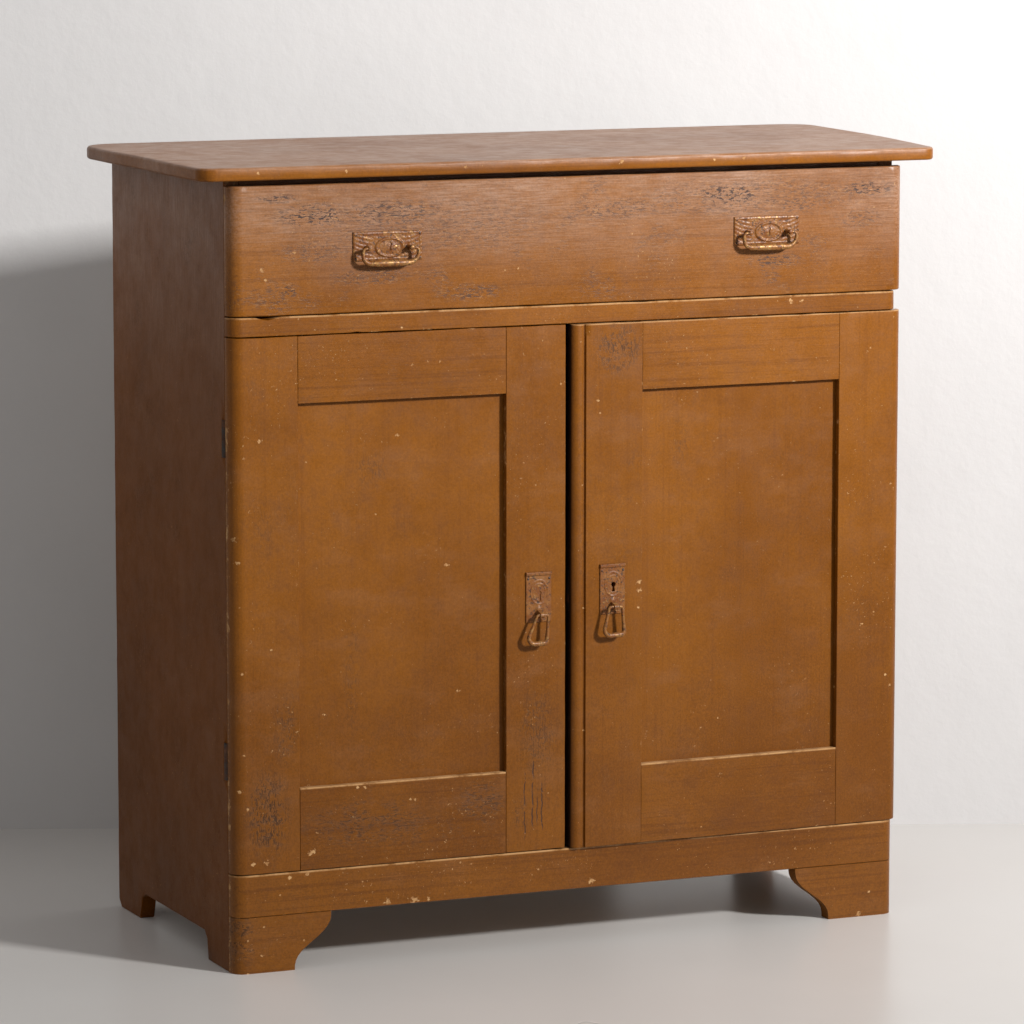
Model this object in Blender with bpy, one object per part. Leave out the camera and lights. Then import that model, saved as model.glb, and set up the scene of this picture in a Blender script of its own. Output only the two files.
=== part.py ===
"""
Painted pine sideboard cabinet: one wide drawer over a pair of frame-and-panel
doors, on a plinth with shaped bracket feet.

Metres, +Z up, the front faces -Y. All pieces hang from one empty at the
cabinet's front-left corner on the floor, so a length below is measured from
there: x to the right, y to the back, z up. The world origin is under the
middle of the whole object's box, on the floor.

The drawer is closed, the left door is closed and the right door stands a
little ajar. Every moving piece hangs from an empty on its own joint axis.
"""
import bpy
import bmesh
import math
from mathutils import Vector, Matrix

# ------------------------------------------------------------------ overall
X0, Y0 = -0.5265, -0.2497       # front-left corner of the fronts, in the world
FRONT_W = 1.000                 # width of the drawer front and of the two doors
CASE_W = 0.992                  # carcass width; the fronts run 8 mm past it on the right
BASE_W = 0.995                  # plinth width
CASE_D = 0.479                  # front face of the doors to the back edge of the sides
GAP = 0.0003                    # between pieces that touch

SIDE_T = 0.0215                 # side board thickness
FACE_T = 0.0222                 # thickness of doors, drawer front, rails and plinth
FACE_Y = 0.0225                 # front edge of the side boards
CORNER_R = 0.018                # rounding of the two front corners
EASE = 0.0009                   # eased edges

# ------------------------------------------------------------------ heights
TOP_Z0, TOP_Z1 = 1.0700, 1.0875         # top board
CASE_TOP = TOP_Z0 - GAP
DRAWER_Z0, DRAWER_Z1 = 0.8877, 1.0617   # drawer front
RAIL_Z0, RAIL_Z1 = 0.8616, 0.8873       # rail between the drawer and the doors
DOOR_Z0, DOOR_Z1 = 0.1355, 0.8611       # doors
BASE_Z0, BASE_Z1 = 0.0771, 0.1349       # plinth rail
FLOOR_Z0, FLOOR_Z1 = 0.1120, 0.1340     # cupboard floor
SHELF_Z0, SHELF_Z1 = 0.4850, 0.5030

# ------------------------------------------------------------------ top board
TOP_FRONT = -0.0156             # overhang at the front
TOP_LEFT_F, TOP_LEFT_B = -0.045, -0.043
TOP_RIGHT_F, TOP_RIGHT_B = 1.041, 1.105 # the right end is cut out of square
TOP_BACK_L, TOP_BACK_R = 0.503, 0.525   # it also overhangs the back, more at the right
TOP_BULGE = 0.009               # the right end is bowed outwards
TOP_WAVE = 0.0025

# ------------------------------------------------------------------ feet
FOOT_W = (0.0868, 0.1032)       # widths of the front feet on the floor, left and right
FOOT_FLARE = 0.0529             # how far the ogee runs out above
ARCH_Z = 0.0385                 # height of the cut-out in the sides
ARCH_Y0, ARCH_Y1 = 0.104, 0.388

# ------------------------------------------------------------------ doors
LEFT_X1 = 0.4850                # left door's free edge
RIGHT_X0 = 0.4912               # right door's free edge
STILE_OUT = (0.0955, 0.1002)    # outer stile widths, left and right
LEFT_STILE_IN = 0.0880          # left door's inner stile
LOCK_STILE = 0.1053             # right door's lock stile, with its bead
PANEL_Y0, PANEL_Y1 = 0.0100, 0.0160
GROOVE = 0.0080                 # depth of the groove that holds a panel
GROOVE_PLAY = 0.0003
L_TOP_RAIL_Z, L_BOT_RAIL_Z = 0.7700, 0.2490     # inner edges of the rails
R_TOP_RAIL_Z, R_BOT_RAIL_Z = 0.7675, 0.2465
BEAD_RX, BEAD_RY = 0.0100, 0.0105       # rounding of the lock stile's free corner
BEAD_W, QUIRK_W, QUIRK_D = 0.0165, 0.0040, 0.0033
AJAR = math.radians(0.95)       # the right door's opening as it stands

# ------------------------------------------------------------------ hinges
PIN_Y = FACE_Y + 0.0053         # hinge axes, a little behind the doors
LEFT_PIN_X = 0.0020
RIGHT_PIN_X = 0.9940
HINGE_H = 0.0500
HINGE_Z = (0.2630, 0.6995)      # lower end of each hinge
KNUCKLE_R = 0.0045
PIN_R = 0.0020
PIN_BORE_R = 0.0024
LEAF_IN, LEAF_OUT = 0.0055, 0.0185      # leaf, measured inwards from the axis
DOOR_LEAF_Y = (0.0225, 0.0243)
CASE_LEAF_Y = (0.0249, 0.0269)

# ------------------------------------------------------------------ handles
PULL_XC = (0.2242, 0.7866)      # drawer plates, centre
PULL_ZC = (0.9767, 0.9790)
PULL_W, PULL_H = 0.0996, 0.0395
PLATE_T = 0.0017
POST_DX, POST_DZ = 0.0303, -0.0022
POST_R, POST_LEN = 0.0032, 0.0165
BAIL_Y = -0.0135                # depth of the bail's axis
BAIL_HALF, BAIL_DROP = 0.0400, 0.0200
DOOR_PLATE_W, DOOR_PLATE_H = 0.0381, 0.0700
DOOR_PLATE_X = (0.4254, 0.5320) # left edges
DOOR_PLATE_Z = (0.4535, 0.4595) # lower edges
PULL_TOP_HALF = (0.0080, 0.0097)        # half widths of the two drop pulls, left and right
PULL_BOTTOM_HALF = (0.0158, 0.0160)
PULL_TOP_SHIFT = (0.0016, 0.0000)       # worn pivots: the pulls hang a little askew
PULL_BOTTOM_SHIFT = (-0.0082, -0.0031)
PULL_DZ = 0.0115                # drop pull's axis above the plate's lower edge
PULL_Y = -0.0130

# ------------------------------------------------------------------ drawer box
BOX_X0, BOX_X1 = 0.0290, 0.9630
BOX_SIDE_T = 0.0130
BOX_Z0, BOX_Z1 = 0.8878, 1.0400
BOX_Y1 = 0.4500

# ------------------------------------------------------------------ lock and bolts
LOCK_Z = 0.4962                 # keyhole height on the right door
LOCK_Y0, LOCK_Y1 = 0.0112, 0.0192
LOCK_D, LOCK_H = 0.0780, 0.0600
BOLT_Y0, BOLT_Y1 = 0.0137, 0.0167
SLIDE_X = 0.4370                # slide bolts on the left door
SLIDE_Y = 0.0325
SLIDE_R = 0.0040
SOCKET = 0.0102                 # side of the square mortises that the slide bolts shoot into


# ================================================================== helpers
for ob in list(bpy.data.objects):
    bpy.data.objects.remove(ob, do_unlink=True)
for me in list(bpy.data.meshes):
    bpy.data.meshes.remove(me)
for mt in list(bpy.data.materials):
    bpy.data.materials.remove(mt)


def material(name, rgb, rough, metallic=0.0):
    m = bpy.data.materials.new(name)
    m.use_nodes = True
    b = m.node_tree.nodes["Principled BSDF"]
    b.inputs["Base Color"].default_value = (*rgb, 1.0)
    b.inputs["Roughness"].default_value = rough
    b.inputs["Metallic"].default_value = metallic
    m.diffuse_color = (*rgb, 1.0)
    return m


OCHRE = (0.330, 0.135, 0.035)
OCHRE_DARK = (0.240, 0.098, 0.028)
BARE = (0.430, 0.270, 0.130)
IRON = (0.090, 0.080, 0.070)
BRASS = (0.300, 0.160, 0.060)

home = {}                       # empty's name -> its place in the closed cabinet


def empty(name, loc, parent=None, turn=0.0):
    e = bpy.data.objects.new(name, None)
    bpy.context.scene.collection.objects.link(e)
    e.empty_display_size = 0.03
    loc = Vector(loc)
    home[name] = loc
    if parent is not None:
        e.parent = parent
        e.location = loc - home[parent.name]
    else:
        e.location = loc
    e.rotation_euler = (0.0, 0.0, turn)
    return e


cabinet = bpy.data.objects.new("cabinet_corner", None)
bpy.context.scene.collection.objects.link(cabinet)
cabinet.location = (X0, Y0, 0.0)
home["cabinet_corner"] = Vector((0.0, 0.0, 0.0))


def add(name, bm, mat, parent=cabinet, ease=0.0, segments=1, smooth=False):
    """Make an object of a bmesh drawn where the piece stands in the closed cabinet."""
    bmesh.ops.recalc_face_normals(bm, faces=bm.faces)
    me = bpy.data.meshes.new(name)
    bm.to_mesh(me)
    bm.free()
    me.transform(Matrix.Translation(-home[parent.name]))
    ob = bpy.data.objects.new(name, me)
    bpy.context.scene.collection.objects.link(ob)
    ob.parent = parent
    if mat is not None:
        me.materials.append(mat)
    if smooth:
        me.shade_smooth()
        me.set_sharp_from_angle(angle=math.radians(35))
    if ease:
        m = ob.modifiers.new("eased_edges", "BEVEL")
        m.width = ease
        m.segments = segments
        m.limit_method = "ANGLE"
        m.angle_limit = math.radians(40)
    return ob


def helper(name, bm, parent=cabinet):
    ob = add(name, bm, None, parent)
    ob.hide_render = True
    ob.display_type = "WIRE"
    return ob


def boolean(ob, other, operation):
    m = ob.modifiers.new(operation.lower() + "_" + other.name, "BOOLEAN")
    m.operation = operation
    m.solver = "EXACT"
    m.object = other


def prism(bm, pts, axis, lo, hi):
    """Extrude a closed outline: (x, y) along Z, (y, z) along X or (x, z) along Y."""
    def at(p, d):
        if axis == "Z":
            return (p[0], p[1], d)
        if axis == "X":
            return (d, p[0], p[1])
        return (p[0], d, p[1])
    verts = [bm.verts.new(at(p, lo)) for p in pts]
    face = bm.faces.new(verts)
    out = bmesh.ops.extrude_face_region(bm, geom=[face])
    moved = [g for g in out["geom"] if isinstance(g, bmesh.types.BMVert)]
    shift = Vector(at((0.0, 0.0), hi - lo))
    bmesh.ops.translate(bm, verts=moved, vec=shift)
    return verts + moved


def box(bm, x0, x1, y0, y1, z0, z1):
    return prism(bm, [(x0, y0), (x1, y0), (x1, y1), (x0, y1)], "Z", z0, z1)


def board(name, mat, dims, parent=cabinet, ease=EASE, segments=1):
    bm = bmesh.new()
    box(bm, *dims)
    return add(name, bm, mat, parent, ease, segments)


def rod(bm, centre, axis, r, lo, hi, sides=16):
    """Closed cylinder; centre gives the two coordinates across the axis."""
    pts = [(centre[0] + r * math.cos(2 * math.pi * (i + 0.5) / sides),
            centre[1] + r * math.sin(2 * math.pi * (i + 0.5) / sides)) for i in range(sides)]
    return prism(bm, pts, axis, lo, hi)


def fillet(pts, radii, steps=8, closed=True):
    """Round the corners of an outline with true arcs."""
    out = []
    n = len(pts)
    for i, p in enumerate(pts):
        r = radii[i] if i < len(radii) else 0.0
        if r <= 0.0 or (not closed and i in (0, n - 1)):
            out.append(tuple(p))
            continue
        p = Vector(p)
        a = (Vector(pts[i - 1]) - p)
        b = (Vector(pts[(i + 1) % n]) - p)
        a.normalize()
        b.normalize()
        half = a.angle(b) / 2.0
        run = r / math.tan(half)
        mid = (a + b).normalized() * (r / math.sin(half)) + p
        s = p + a * run - mid
        e = p + b * run - mid
        turn = s.angle(e)
        sign = 1.0 if (s.x * e.y - s.y * e.x) > 0 else -1.0
        for k in range(steps + 1):
            t = sign * turn * k / steps
            c, d = math.cos(t), math.sin(t)
            out.append((mid.x + s.x * c - s.y * d, mid.y + s.x * d + s.y * c))
    return out


def tube(bm, path, radii, y, sides=10, closed=False):
    """Round bar along a path of (x, z) points in the plane y."""
    n = len(path)
    rings = []
    for i, p in enumerate(path):
        a = path[(i - 1) % n] if (closed or i > 0) else path[i]
        b = path[(i + 1) % n] if (closed or i < n - 1) else path[i]
        t = Vector((b[0] - a[0], 0.0, b[1] - a[1])).normalized()
        u = Vector((0.0, 1.0, 0.0))
        v = t.cross(u)
        c = Vector((p[0], y, p[1]))
        rings.append([bm.verts.new(c + (u * math.cos(2 * math.pi * k / sides)
                                        + v * math.sin(2 * math.pi * k / sides)) * radii[i])
                      for k in range(sides)])
    spans = n if closed else n - 1
    for i in range(spans):
        q, w = rings[i], rings[(i + 1) % n]
        for k in range(sides):
            bm.faces.new((q[k], q[(k + 1) % sides], w[(k + 1) % sides], w[k]))
    if not closed:
        bm.faces.new(rings[0])
        bm.faces.new(list(reversed(rings[-1])))


def round_corner(bm, verts, x, r=CORNER_R):
    """Round the upright front edge that stands at x on the front plane."""
    edges = [e for e in bm.edges
             if all(abs(v.co.x - x) < 1e-6 and abs(v.co.y) < 1e-6 for v in e.verts)]
    bmesh.ops.bevel(bm, geom=edges, offset=r, offset_type="OFFSET", segments=8,
                    profile=0.5, affect="EDGES", clamp_overlap=False)


def front_outline(x0, x1, y1, left=True, right=True):
    """Plan of a front board with rounded front corners."""
    pts = [(x0, 0.0), (x1, 0.0), (x1, y1), (x0, y1)]
    return fillet(pts, [CORNER_R if left else 0.0, CORNER_R if right else 0.0, 0.0, 0.0])


def keyhole(xc, zc, scale=1.0):
    """Outline (x, z) of a keyhole: a round head over a slot that widens downwards."""
    r = 0.0036 * scale
    head = zc + 0.0045 * scale
    pts = []
    for i in range(11):
        a = math.radians(-60 + 300 * i / 10)
        pts.append((xc + r * math.cos(a), head + r * math.sin(a)))
    pts.append((xc - 0.0019 * scale, zc - 0.0070 * scale))
    pts.append((xc + 0.0019 * scale, zc - 0.0070 * scale))
    return pts


# ================================================================== carcass
def side_board(name, x0, pin_x, inward):
    y0, y1 = FACE_Y, CASE_D
    pts = [(y0, 0.0), (ARCH_Y0, 0.0), (ARCH_Y0 + 0.0045, ARCH_Z - 0.010),
           (ARCH_Y0 + 0.0145, ARCH_Z), (ARCH_Y1 - 0.0250, ARCH_Z),
           (ARCH_Y1 - 0.0110, ARCH_Z - 0.006), (ARCH_Y1, 0.0),
           (y1 - 0.0110, 0.0), (y1, 0.0110), (y1, CASE_TOP), (y0, CASE_TOP)]
    bm = bmesh.new()
    prism(bm, pts, "X", x0, x0 + SIDE_T)
    ob = add(name, bm, material(name, OCHRE_DARK, 0.45), ease=EASE)
    # rebates for the two hinges: a shallow bed for the leaves and a notch for the knuckle
    s = 1.0 if inward > 0 else -1.0
    far = x0 + (SIDE_T + 0.001 if s > 0 else -0.001)
    near = x0 + (-0.001 if s > 0 else SIDE_T + 0.001)
    knuckle = pin_x + s * (KNUCKLE_R + 0.0013)
    for i, z in enumerate(HINGE_Z):
        c = bmesh.new()
        prism(c, [(near, FACE_Y - 0.001), (far, FACE_Y - 0.001), (far, CASE_LEAF_Y[1] + GAP),
                  (knuckle, CASE_LEAF_Y[1] + GAP), (knuckle, PIN_Y + KNUCKLE_R + 0.0010),
                  (near, PIN_Y + KNUCKLE_R + 0.0010)], "Z", z - GAP, z + HINGE_H + GAP)
        boolean(ob, helper("%s_hinge_bed_%d" % (name, i + 1), c), "DIFFERENCE")
    return ob


side_board("side_panel_left", 0.0, LEFT_PIN_X, 1)
side_board("side_panel_right", CASE_W - SIDE_T, RIGHT_PIN_X, -1)

IN_X0, IN_X1 = SIDE_T + GAP, CASE_W - SIDE_T - GAP
BACK_Y0, BACK_Y1 = 0.4637, 0.4757

# top board: its ends wave a little and its corners are worn round
corners = [(TOP_LEFT_F, TOP_FRONT), (TOP_RIGHT_F, TOP_FRONT),
           (TOP_RIGHT_B, TOP_BACK_R), (TOP_LEFT_B, TOP_BACK_L)]
outline = fillet(corners, [0.022, 0.018, 0.045, 0.055], steps=6)


def waved(pts):
    out = []
    for i, p in enumerate(pts):
        q = pts[(i + 1) % len(pts)]
        out.append(p)
        run = math.hypot(q[0] - p[0], q[1] - p[1])
        if abs(q[1] - p[1]) > 0.2:
            nx, ny = (q[1] - p[1]) / run, -(q[0] - p[0]) / run
            for k in range(1, 12):
                t = k / 12.0
                if p[0] > 0.5:
                    w = TOP_BULGE * math.sin(math.pi * t)
                else:
                    w = TOP_WAVE * math.sin(2.0 * math.pi * 1.5 * t) * math.sin(math.pi * t)
                out.append((p[0] + (q[0] - p[0]) * t + nx * w, p[1] + (q[1] - p[1]) * t + ny * w))
    return out


bm = bmesh.new()
prism(bm, waved(outline), "Z", TOP_Z0, TOP_Z1)
add("top_board", bm, material("top_board", OCHRE, 0.40), ease=0.0032, segments=3)

width = (IN_X1 - IN_X0 - 2 * 0.0006) / 3.0
for i, word in enumerate(("left", "middle", "right")):
    x = IN_X0 + i * (width + 0.0006)
    name = "back_board_" + word
    board(name, material(name, BARE, 0.7), (x, x + width, BACK_Y0, BACK_Y1, 0.1000, CASE_TOP))

bm = bmesh.new()
box(bm, IN_X0, IN_X1, FACE_Y + GAP, BACK_Y0 - GAP, FLOOR_Z0, FLOOR_Z1)
ob = add("cupboard_floor", bm, material("cupboard_floor", BARE, 0.65), ease=EASE)
c = bmesh.new()
box(c, SLIDE_X - SOCKET / 2, SLIDE_X + SOCKET / 2, SLIDE_Y - SOCKET / 2, SLIDE_Y + SOCKET / 2,
    FLOOR_Z1 - 0.012, FLOOR_Z1 + 0.002)
boolean(ob, helper("floor_bolt_socket", c), "DIFFERENCE")

board("shelf", material("shelf", BARE, 0.65),
      (IN_X0, IN_X1, 0.0520, BACK_Y0 - GAP, SHELF_Z0, SHELF_Z1))
board("shelf_cleat_left", material("shelf_cleat_left", BARE, 0.7),
      (IN_X0, IN_X0 + 0.018, 0.0600, 0.4550, SHELF_Z0 - GAP - 0.024, SHELF_Z0 - GAP))
board("shelf_cleat_right", material("shelf_cleat_right", BARE, 0.7),
      (IN_X1 - 0.018, IN_X1, 0.0600, 0.4550, SHELF_Z0 - GAP - 0.024, SHELF_Z0 - GAP))

# rail between the drawer and the doors: full width in front, then between the sides
RAIL_Y1 = 0.0950
bm = bmesh.new()
pts = fillet([(0.0, 0.0), (CASE_W, 0.0), (CASE_W, FACE_T), (IN_X1, FACE_T),
              (IN_X1, RAIL_Y1), (IN_X0, RAIL_Y1), (IN_X0, FACE_T), (0.0, FACE_T)],
             [CORNER_R, CORNER_R])
prism(bm, pts, "Z", RAIL_Z0, RAIL_Z1)
ob = add("middle_rail", bm, material("middle_rail", OCHRE, 0.42), ease=EASE)
c = bmesh.new()
box(c, SLIDE_X - SOCKET / 2, SLIDE_X + SOCKET / 2, SLIDE_Y - SOCKET / 2, SLIDE_Y + SOCKET / 2,
    RAIL_Z0 - 0.002, RAIL_Z0 + 0.015)
boolean(ob, helper("rail_bolt_socket", c), "DIFFERENCE")

board("top_rail", material("top_rail", OCHRE_DARK, 0.6),
      (IN_X0, IN_X1, FACE_Y + GAP, FACE_Y + 0.0200, 1.0450, CASE_TOP))

for word, x0, s in (("left", IN_X0, 1.0), ("right", IN_X1, -1.0)):
    # runner under the drawer side, with the guide that keeps the drawer straight
    edge = BOX_X0 - 0.0010 if s > 0 else BOX_X1 + 0.0010
    pts = [(x0, RAIL_Z0), (x0 + s * 0.034, RAIL_Z0), (x0 + s * 0.034, RAIL_Z1),
           (edge, RAIL_Z1), (edge, RAIL_Z1 + 0.022), (x0, RAIL_Z1 + 0.022)]
    bm = bmesh.new()
    prism(bm, pts, "Y", RAIL_Y1 + GAP, BACK_Y0 - GAP)
    name = "drawer_runner_" + word
    add(name, bm, material(name, BARE, 0.7))

# plinth rail
bm = bmesh.new()
prism(bm, front_outline(0.0, BASE_W, FACE_T), "Z", BASE_Z0, BASE_Z1)
add("plinth_rail", bm, material("plinth_rail", OCHRE, 0.42), ease=EASE)


def foot(name, outer, s):
    """Bracket foot under the plinth rail: its inner edge is an ogee."""
    h = BASE_Z0 - GAP
    pts = [(outer, 0.0)]
    for k in range(13):
        u = k / 12.0
        run = FOOT_W[0 if s > 0 else 1] + FOOT_FLARE * (u - math.sin(2.0 * math.pi * u) / (2.0 * math.pi))
        pts.append((outer + s * run, h * u))
    pts.append((outer, h))
    bm = bmesh.new()
    prism(bm, pts, "Y", 0.0, FACE_T)
    round_corner(bm, None, outer)
    return add(name, bm, material(name, OCHRE, 0.45), ease=0.0)


foot("front_foot_left", 0.0, 1.0)
foot("front_foot_right", BASE_W, -1.0)
board("glue_block_left", material("glue_block_left", BARE, 0.8),
      (IN_X0, IN_X0 + 0.036, FACE_Y + GAP, FACE_Y + 0.040, 0.0040, FLOOR_Z0 - GAP))
board("glue_block_right", material("glue_block_right", BARE, 0.8),
      (IN_X1 - 0.036, IN_X1, FACE_Y + GAP, FACE_Y + 0.040, 0.0040, FLOOR_Z0 - GAP))

# ================================================================== joint axes
drawer = empty("drawer_axis", (0.5, 0.0, 0.960), cabinet)
door_left = empty("door_left_axis", (LEFT_PIN_X, PIN_Y, 0.5), cabinet)
door_right = empty("door_right_axis", (RIGHT_PIN_X, PIN_Y, 0.5), cabinet, turn=AJAR)


# ================================================================== hinges
def hinge(word, number, pin_x, s, door, z):
    """Lift-off butt hinge: the carcass leaf carries the pin, the door leaf drops over it."""
    half = HINGE_H / 2.0
    split = z + half
    # leaf let into the side board, its knuckle below
    bm = bmesh.new()
    box(bm, *sorted((pin_x + s * LEAF_IN, pin_x + s * LEAF_OUT)), *CASE_LEAF_Y, z, z + HINGE_H)
    ob = add("case_hinge_%s_%s" % (word, number), bm,
             material("case_hinge_%s_%s" % (word, number), IRON, 0.5, 0.8))
    k = bmesh.new()
    box(k, *sorted((pin_x, pin_x + s * (LEAF_IN + 0.002))), *CASE_LEAF_Y, z, split - GAP)
    boolean(ob, helper(ob.name + "_web", k), "UNION")
    k = bmesh.new()
    rod(k, (pin_x, PIN_Y), "Z", KNUCKLE_R, z, split - GAP)
    boolean(ob, helper(ob.name + "_knuckle", k), "UNION")
    k = bmesh.new()
    rod(k, (pin_x, PIN_Y), "Z", PIN_R, z + 0.010, z + HINGE_H - 0.0015, 12)
    boolean(ob, helper(ob.name + "_pin", k), "UNION")
    # leaf on the back of the door, its knuckle above
    bm = bmesh.new()
    box(bm, *sorted((pin_x + s * LEAF_IN, pin_x + s * LEAF_OUT)), *DOOR_LEAF_Y, z, z + HINGE_H)
    ob = add("door_hinge_%s_%s" % (word, number), bm,
             material("door_hinge_%s_%s" % (word, number), IRON, 0.5, 0.8), door)
    k = bmesh.new()
    box(k, *sorted((pin_x, pin_x + s * (LEAF_IN + 0.002))), *DOOR_LEAF_Y, split + GAP, z + HINGE_H)
    boolean(ob, helper(ob.name + "_web", k, door), "UNION")
    k = bmesh.new()
    rod(k, (pin_x, PIN_Y), "Z", KNUCKLE_R, split + GAP, z + HINGE_H)
    boolean(ob, helper(ob.name + "_knuckle", k, door), "UNION")
    k = bmesh.new()
    rod(k, (pin_x, PIN_Y), "Z", PIN_BORE_R, split - 0.002, z + HINGE_H + 0.002, 12)
    boolean(ob, helper(ob.name + "_bore", k, door), "DIFFERENCE")


for number, z in (("lower", HINGE_Z[0]), ("upper", HINGE_Z[1])):
    hinge("left", number, LEFT_PIN_X, 1.0, door_left, z)
    hinge("right", number, RIGHT_PIN_X, -1.0, door_right, z)


# ================================================================== doors
GR0, GR1 = PANEL_Y0 - GROOVE_PLAY, PANEL_Y1 + GROOVE_PLAY


def outer_stile(name, x_edge, s, door):
    """Stile on the hinge side: rounded front corner, panel groove on the inner edge."""
    a, b = x_edge, x_edge + s * STILE_OUT[0 if s > 0 else 1]
    g = b - s * GROOVE
    pts = fillet([(a, FACE_T), (a, 0.0), (b, 0.0), (b, GR0), (g, GR0), (g, GR1), (b, GR1), (b, FACE_T)],
                 [0.0, CORNER_R])
    bm = bmesh.new()
    prism(bm, pts, "Z", DOOR_Z0, DOOR_Z1)
    return add(name, bm, material(name, OCHRE, 0.42), door, ease=EASE * 0.7)


def rail(name, x0, x1, z_out, z_in, door):
    """Rail between the stiles: panel groove on the inner edge, stub tenons in the stiles."""
    s = 1.0 if z_out > z_in else -1.0
    g = z_in + s * GROOVE
    pts = [(0.0, z_out), (0.0, z_in), (GR0, z_in), (GR0, g), (GR1, g), (GR1, z_in),
           (FACE_T, z_in), (FACE_T, z_out)]
    bm = bmesh.new()
    prism(bm, pts, "X", x0 + GAP, x1 - GAP)
    ob = add(name, bm, material(name, OCHRE, 0.42), door)
    k = bmesh.new()
    box(k, x0 - GROOVE + GAP, x1 + GROOVE - GAP, PANEL_Y0, PANEL_Y1,
        *sorted((g + s * 0.0006, z_out - s * 0.0012)))
    boolean(ob, helper(name + "_tenons", k, door), "UNION")
    m = ob.modifiers.new("eased_edges", "BEVEL")
    m.width = EASE * 0.5
    m.segments = 1
    m.limit_method = "ANGLE"
    m.angle_limit = math.radians(40)
    return ob


def door_panel(name, x0, x1, z0, z1, door):
    d = GROOVE - 0.0005
    return board(name, material(name, OCHRE, 0.40),
                 (x0 - d, x1 + d, PANEL_Y0, PANEL_Y1, z0 - d, z1 + d), door, ease=0.0)


# left door
outer_stile("left_door_hinge_stile", 0.0, 1.0, door_left)
LX0, LX1 = STILE_OUT[0], LEFT_X1 - LEFT_STILE_IN
bm = bmesh.new()
prism(bm, [(LX1, 0.0), (LEFT_X1, 0.0), (LEFT_X1, FACE_T), (LX1, FACE_T), (LX1, GR1),
           (LX1 + GROOVE, GR1), (LX1 + GROOVE, GR0), (LX1, GR0)], "Z", DOOR_Z0, DOOR_Z1)
ob = add("left_door_meeting_stile", bm, material("left_door_meeting_stile", OCHRE, 0.42),
         door_left, ease=EASE * 0.7)
# keeper mortise: wide enough to take the lock's bolt also while the right door is ajar
c = bmesh.new()
box(c, LEFT_X1 - 0.0090, LEFT_X1 + 0.002, 0.0040, 0.0178, LOCK_Z - 0.0105, LOCK_Z + 0.0105)
boolean(ob, helper("keeper_mortise", c, door_left), "DIFFERENCE")
rail("left_door_top_rail", LX0, LX1, DOOR_Z1, L_TOP_RAIL_Z, door_left)
rail("left_door_bottom_rail", LX0, LX1, DOOR_Z0, L_BOT_RAIL_Z, door_left)
door_panel("left_door_panel", LX0, LX1, L_BOT_RAIL_Z, L_TOP_RAIL_Z, door_left)

# right door
outer_stile("right_door_hinge_stile", FRONT_W, -1.0, door_right)
RX0, RX1 = RIGHT_X0 + LOCK_STILE, FRONT_W - STILE_OUT[1]
# lock stile: a bead is worked on its front corner, with a quirk beside it
bead = [(RIGHT_X0, FACE_T)]
for k in range(11):
    a = math.radians(180.0 + 90.0 * k / 10.0)
    bead.append((RIGHT_X0 + BEAD_RX + BEAD_RX * math.cos(a), BEAD_RY + BEAD_RY * math.sin(a)))
q = RIGHT_X0 + BEAD_W
bead += [(q - 0.0022, 0.0), (q - 0.0006, 0.0007), (q + 0.0008, QUIRK_D),
         (q + QUIRK_W - 0.0014, QUIRK_D), (q + QUIRK_W, 0.0)]
stile = bead + [(RX0, 0.0), (RX0, GR0), (RX0 - GROOVE, GR0), (RX0 - GROOVE, GR1),
                (RX0, GR1), (RX0, FACE_T)]
bm = bmesh.new()
prism(bm, stile, "Z", DOOR_Z0, DOOR_Z1)
ob = add("right_door_lock_stile", bm, material("right_door_lock_stile", OCHRE, 0.42), door_right)
c = bmesh.new()
box(c, RIGHT_X0 - 0.002, RIGHT_X0 + LOCK_D + GAP, LOCK_Y0 - GAP, LOCK_Y1 + GAP,
    LOCK_Z - LOCK_H / 2 - GAP, LOCK_Z + LOCK_H / 2 + GAP)
boolean(ob, helper("lock_mortise", c, door_right), "DIFFERENCE")
KEY_X = DOOR_PLATE_X[1] + 0.0205
c = bmesh.new()
prism(c, keyhole(KEY_X, LOCK_Z, 1.08), "Y", -0.002, LOCK_Y0 + 0.001)
boolean(ob, helper("stile_keyhole", c, door_right), "DIFFERENCE")
rail("right_door_top_rail", RX0, RX1, DOOR_Z1, R_TOP_RAIL_Z, door_right)
rail("right_door_bottom_rail", RX0, RX1, DOOR_Z0, R_BOT_RAIL_Z, door_right)
door_panel("right_door_panel", RX0, RX1, R_BOT_RAIL_Z, R_TOP_RAIL_Z, door_right)

# lock let into the stile's edge, with the channel that its bolt slides in
bm = bmesh.new()
box(bm, RIGHT_X0 + GAP, RIGHT_X0 + LOCK_D, LOCK_Y0, LOCK_Y1,
    LOCK_Z - LOCK_H / 2, LOCK_Z + LOCK_H / 2)
ob = add("lock_case", bm, material("lock_case", IRON, 0.5, 0.8), door_right)
c = bmesh.new()
box(c, RIGHT_X0 - 0.002, RIGHT_X0 + 0.0320, BOLT_Y0 - GAP, BOLT_Y1 + GAP,
    LOCK_Z - 0.0073, LOCK_Z + 0.0073)
boolean(ob, helper("bolt_channel", c, door_right), "DIFFERENCE")
c = bmesh.new()
prism(c, keyhole(KEY_X, LOCK_Z), "Y", LOCK_Y0 - 0.002, LOCK_Y0 + 0.005)
boolean(ob, helper("case_keyhole", c, door_right), "DIFFERENCE")
lock_axis = empty("lock_bolt_axis", (RIGHT_X0 + 0.015, 0.5 * (BOLT_Y0 + BOLT_Y1), LOCK_Z), door_right)
board("lock_bolt", material("lock_bolt", IRON, 0.4, 0.9),
      (RIGHT_X0 + GAP, RIGHT_X0 + 0.0300, BOLT_Y0, BOLT_Y1, LOCK_Z - 0.0070, LOCK_Z + 0.0070),
      lock_axis, ease=0.0)

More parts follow.
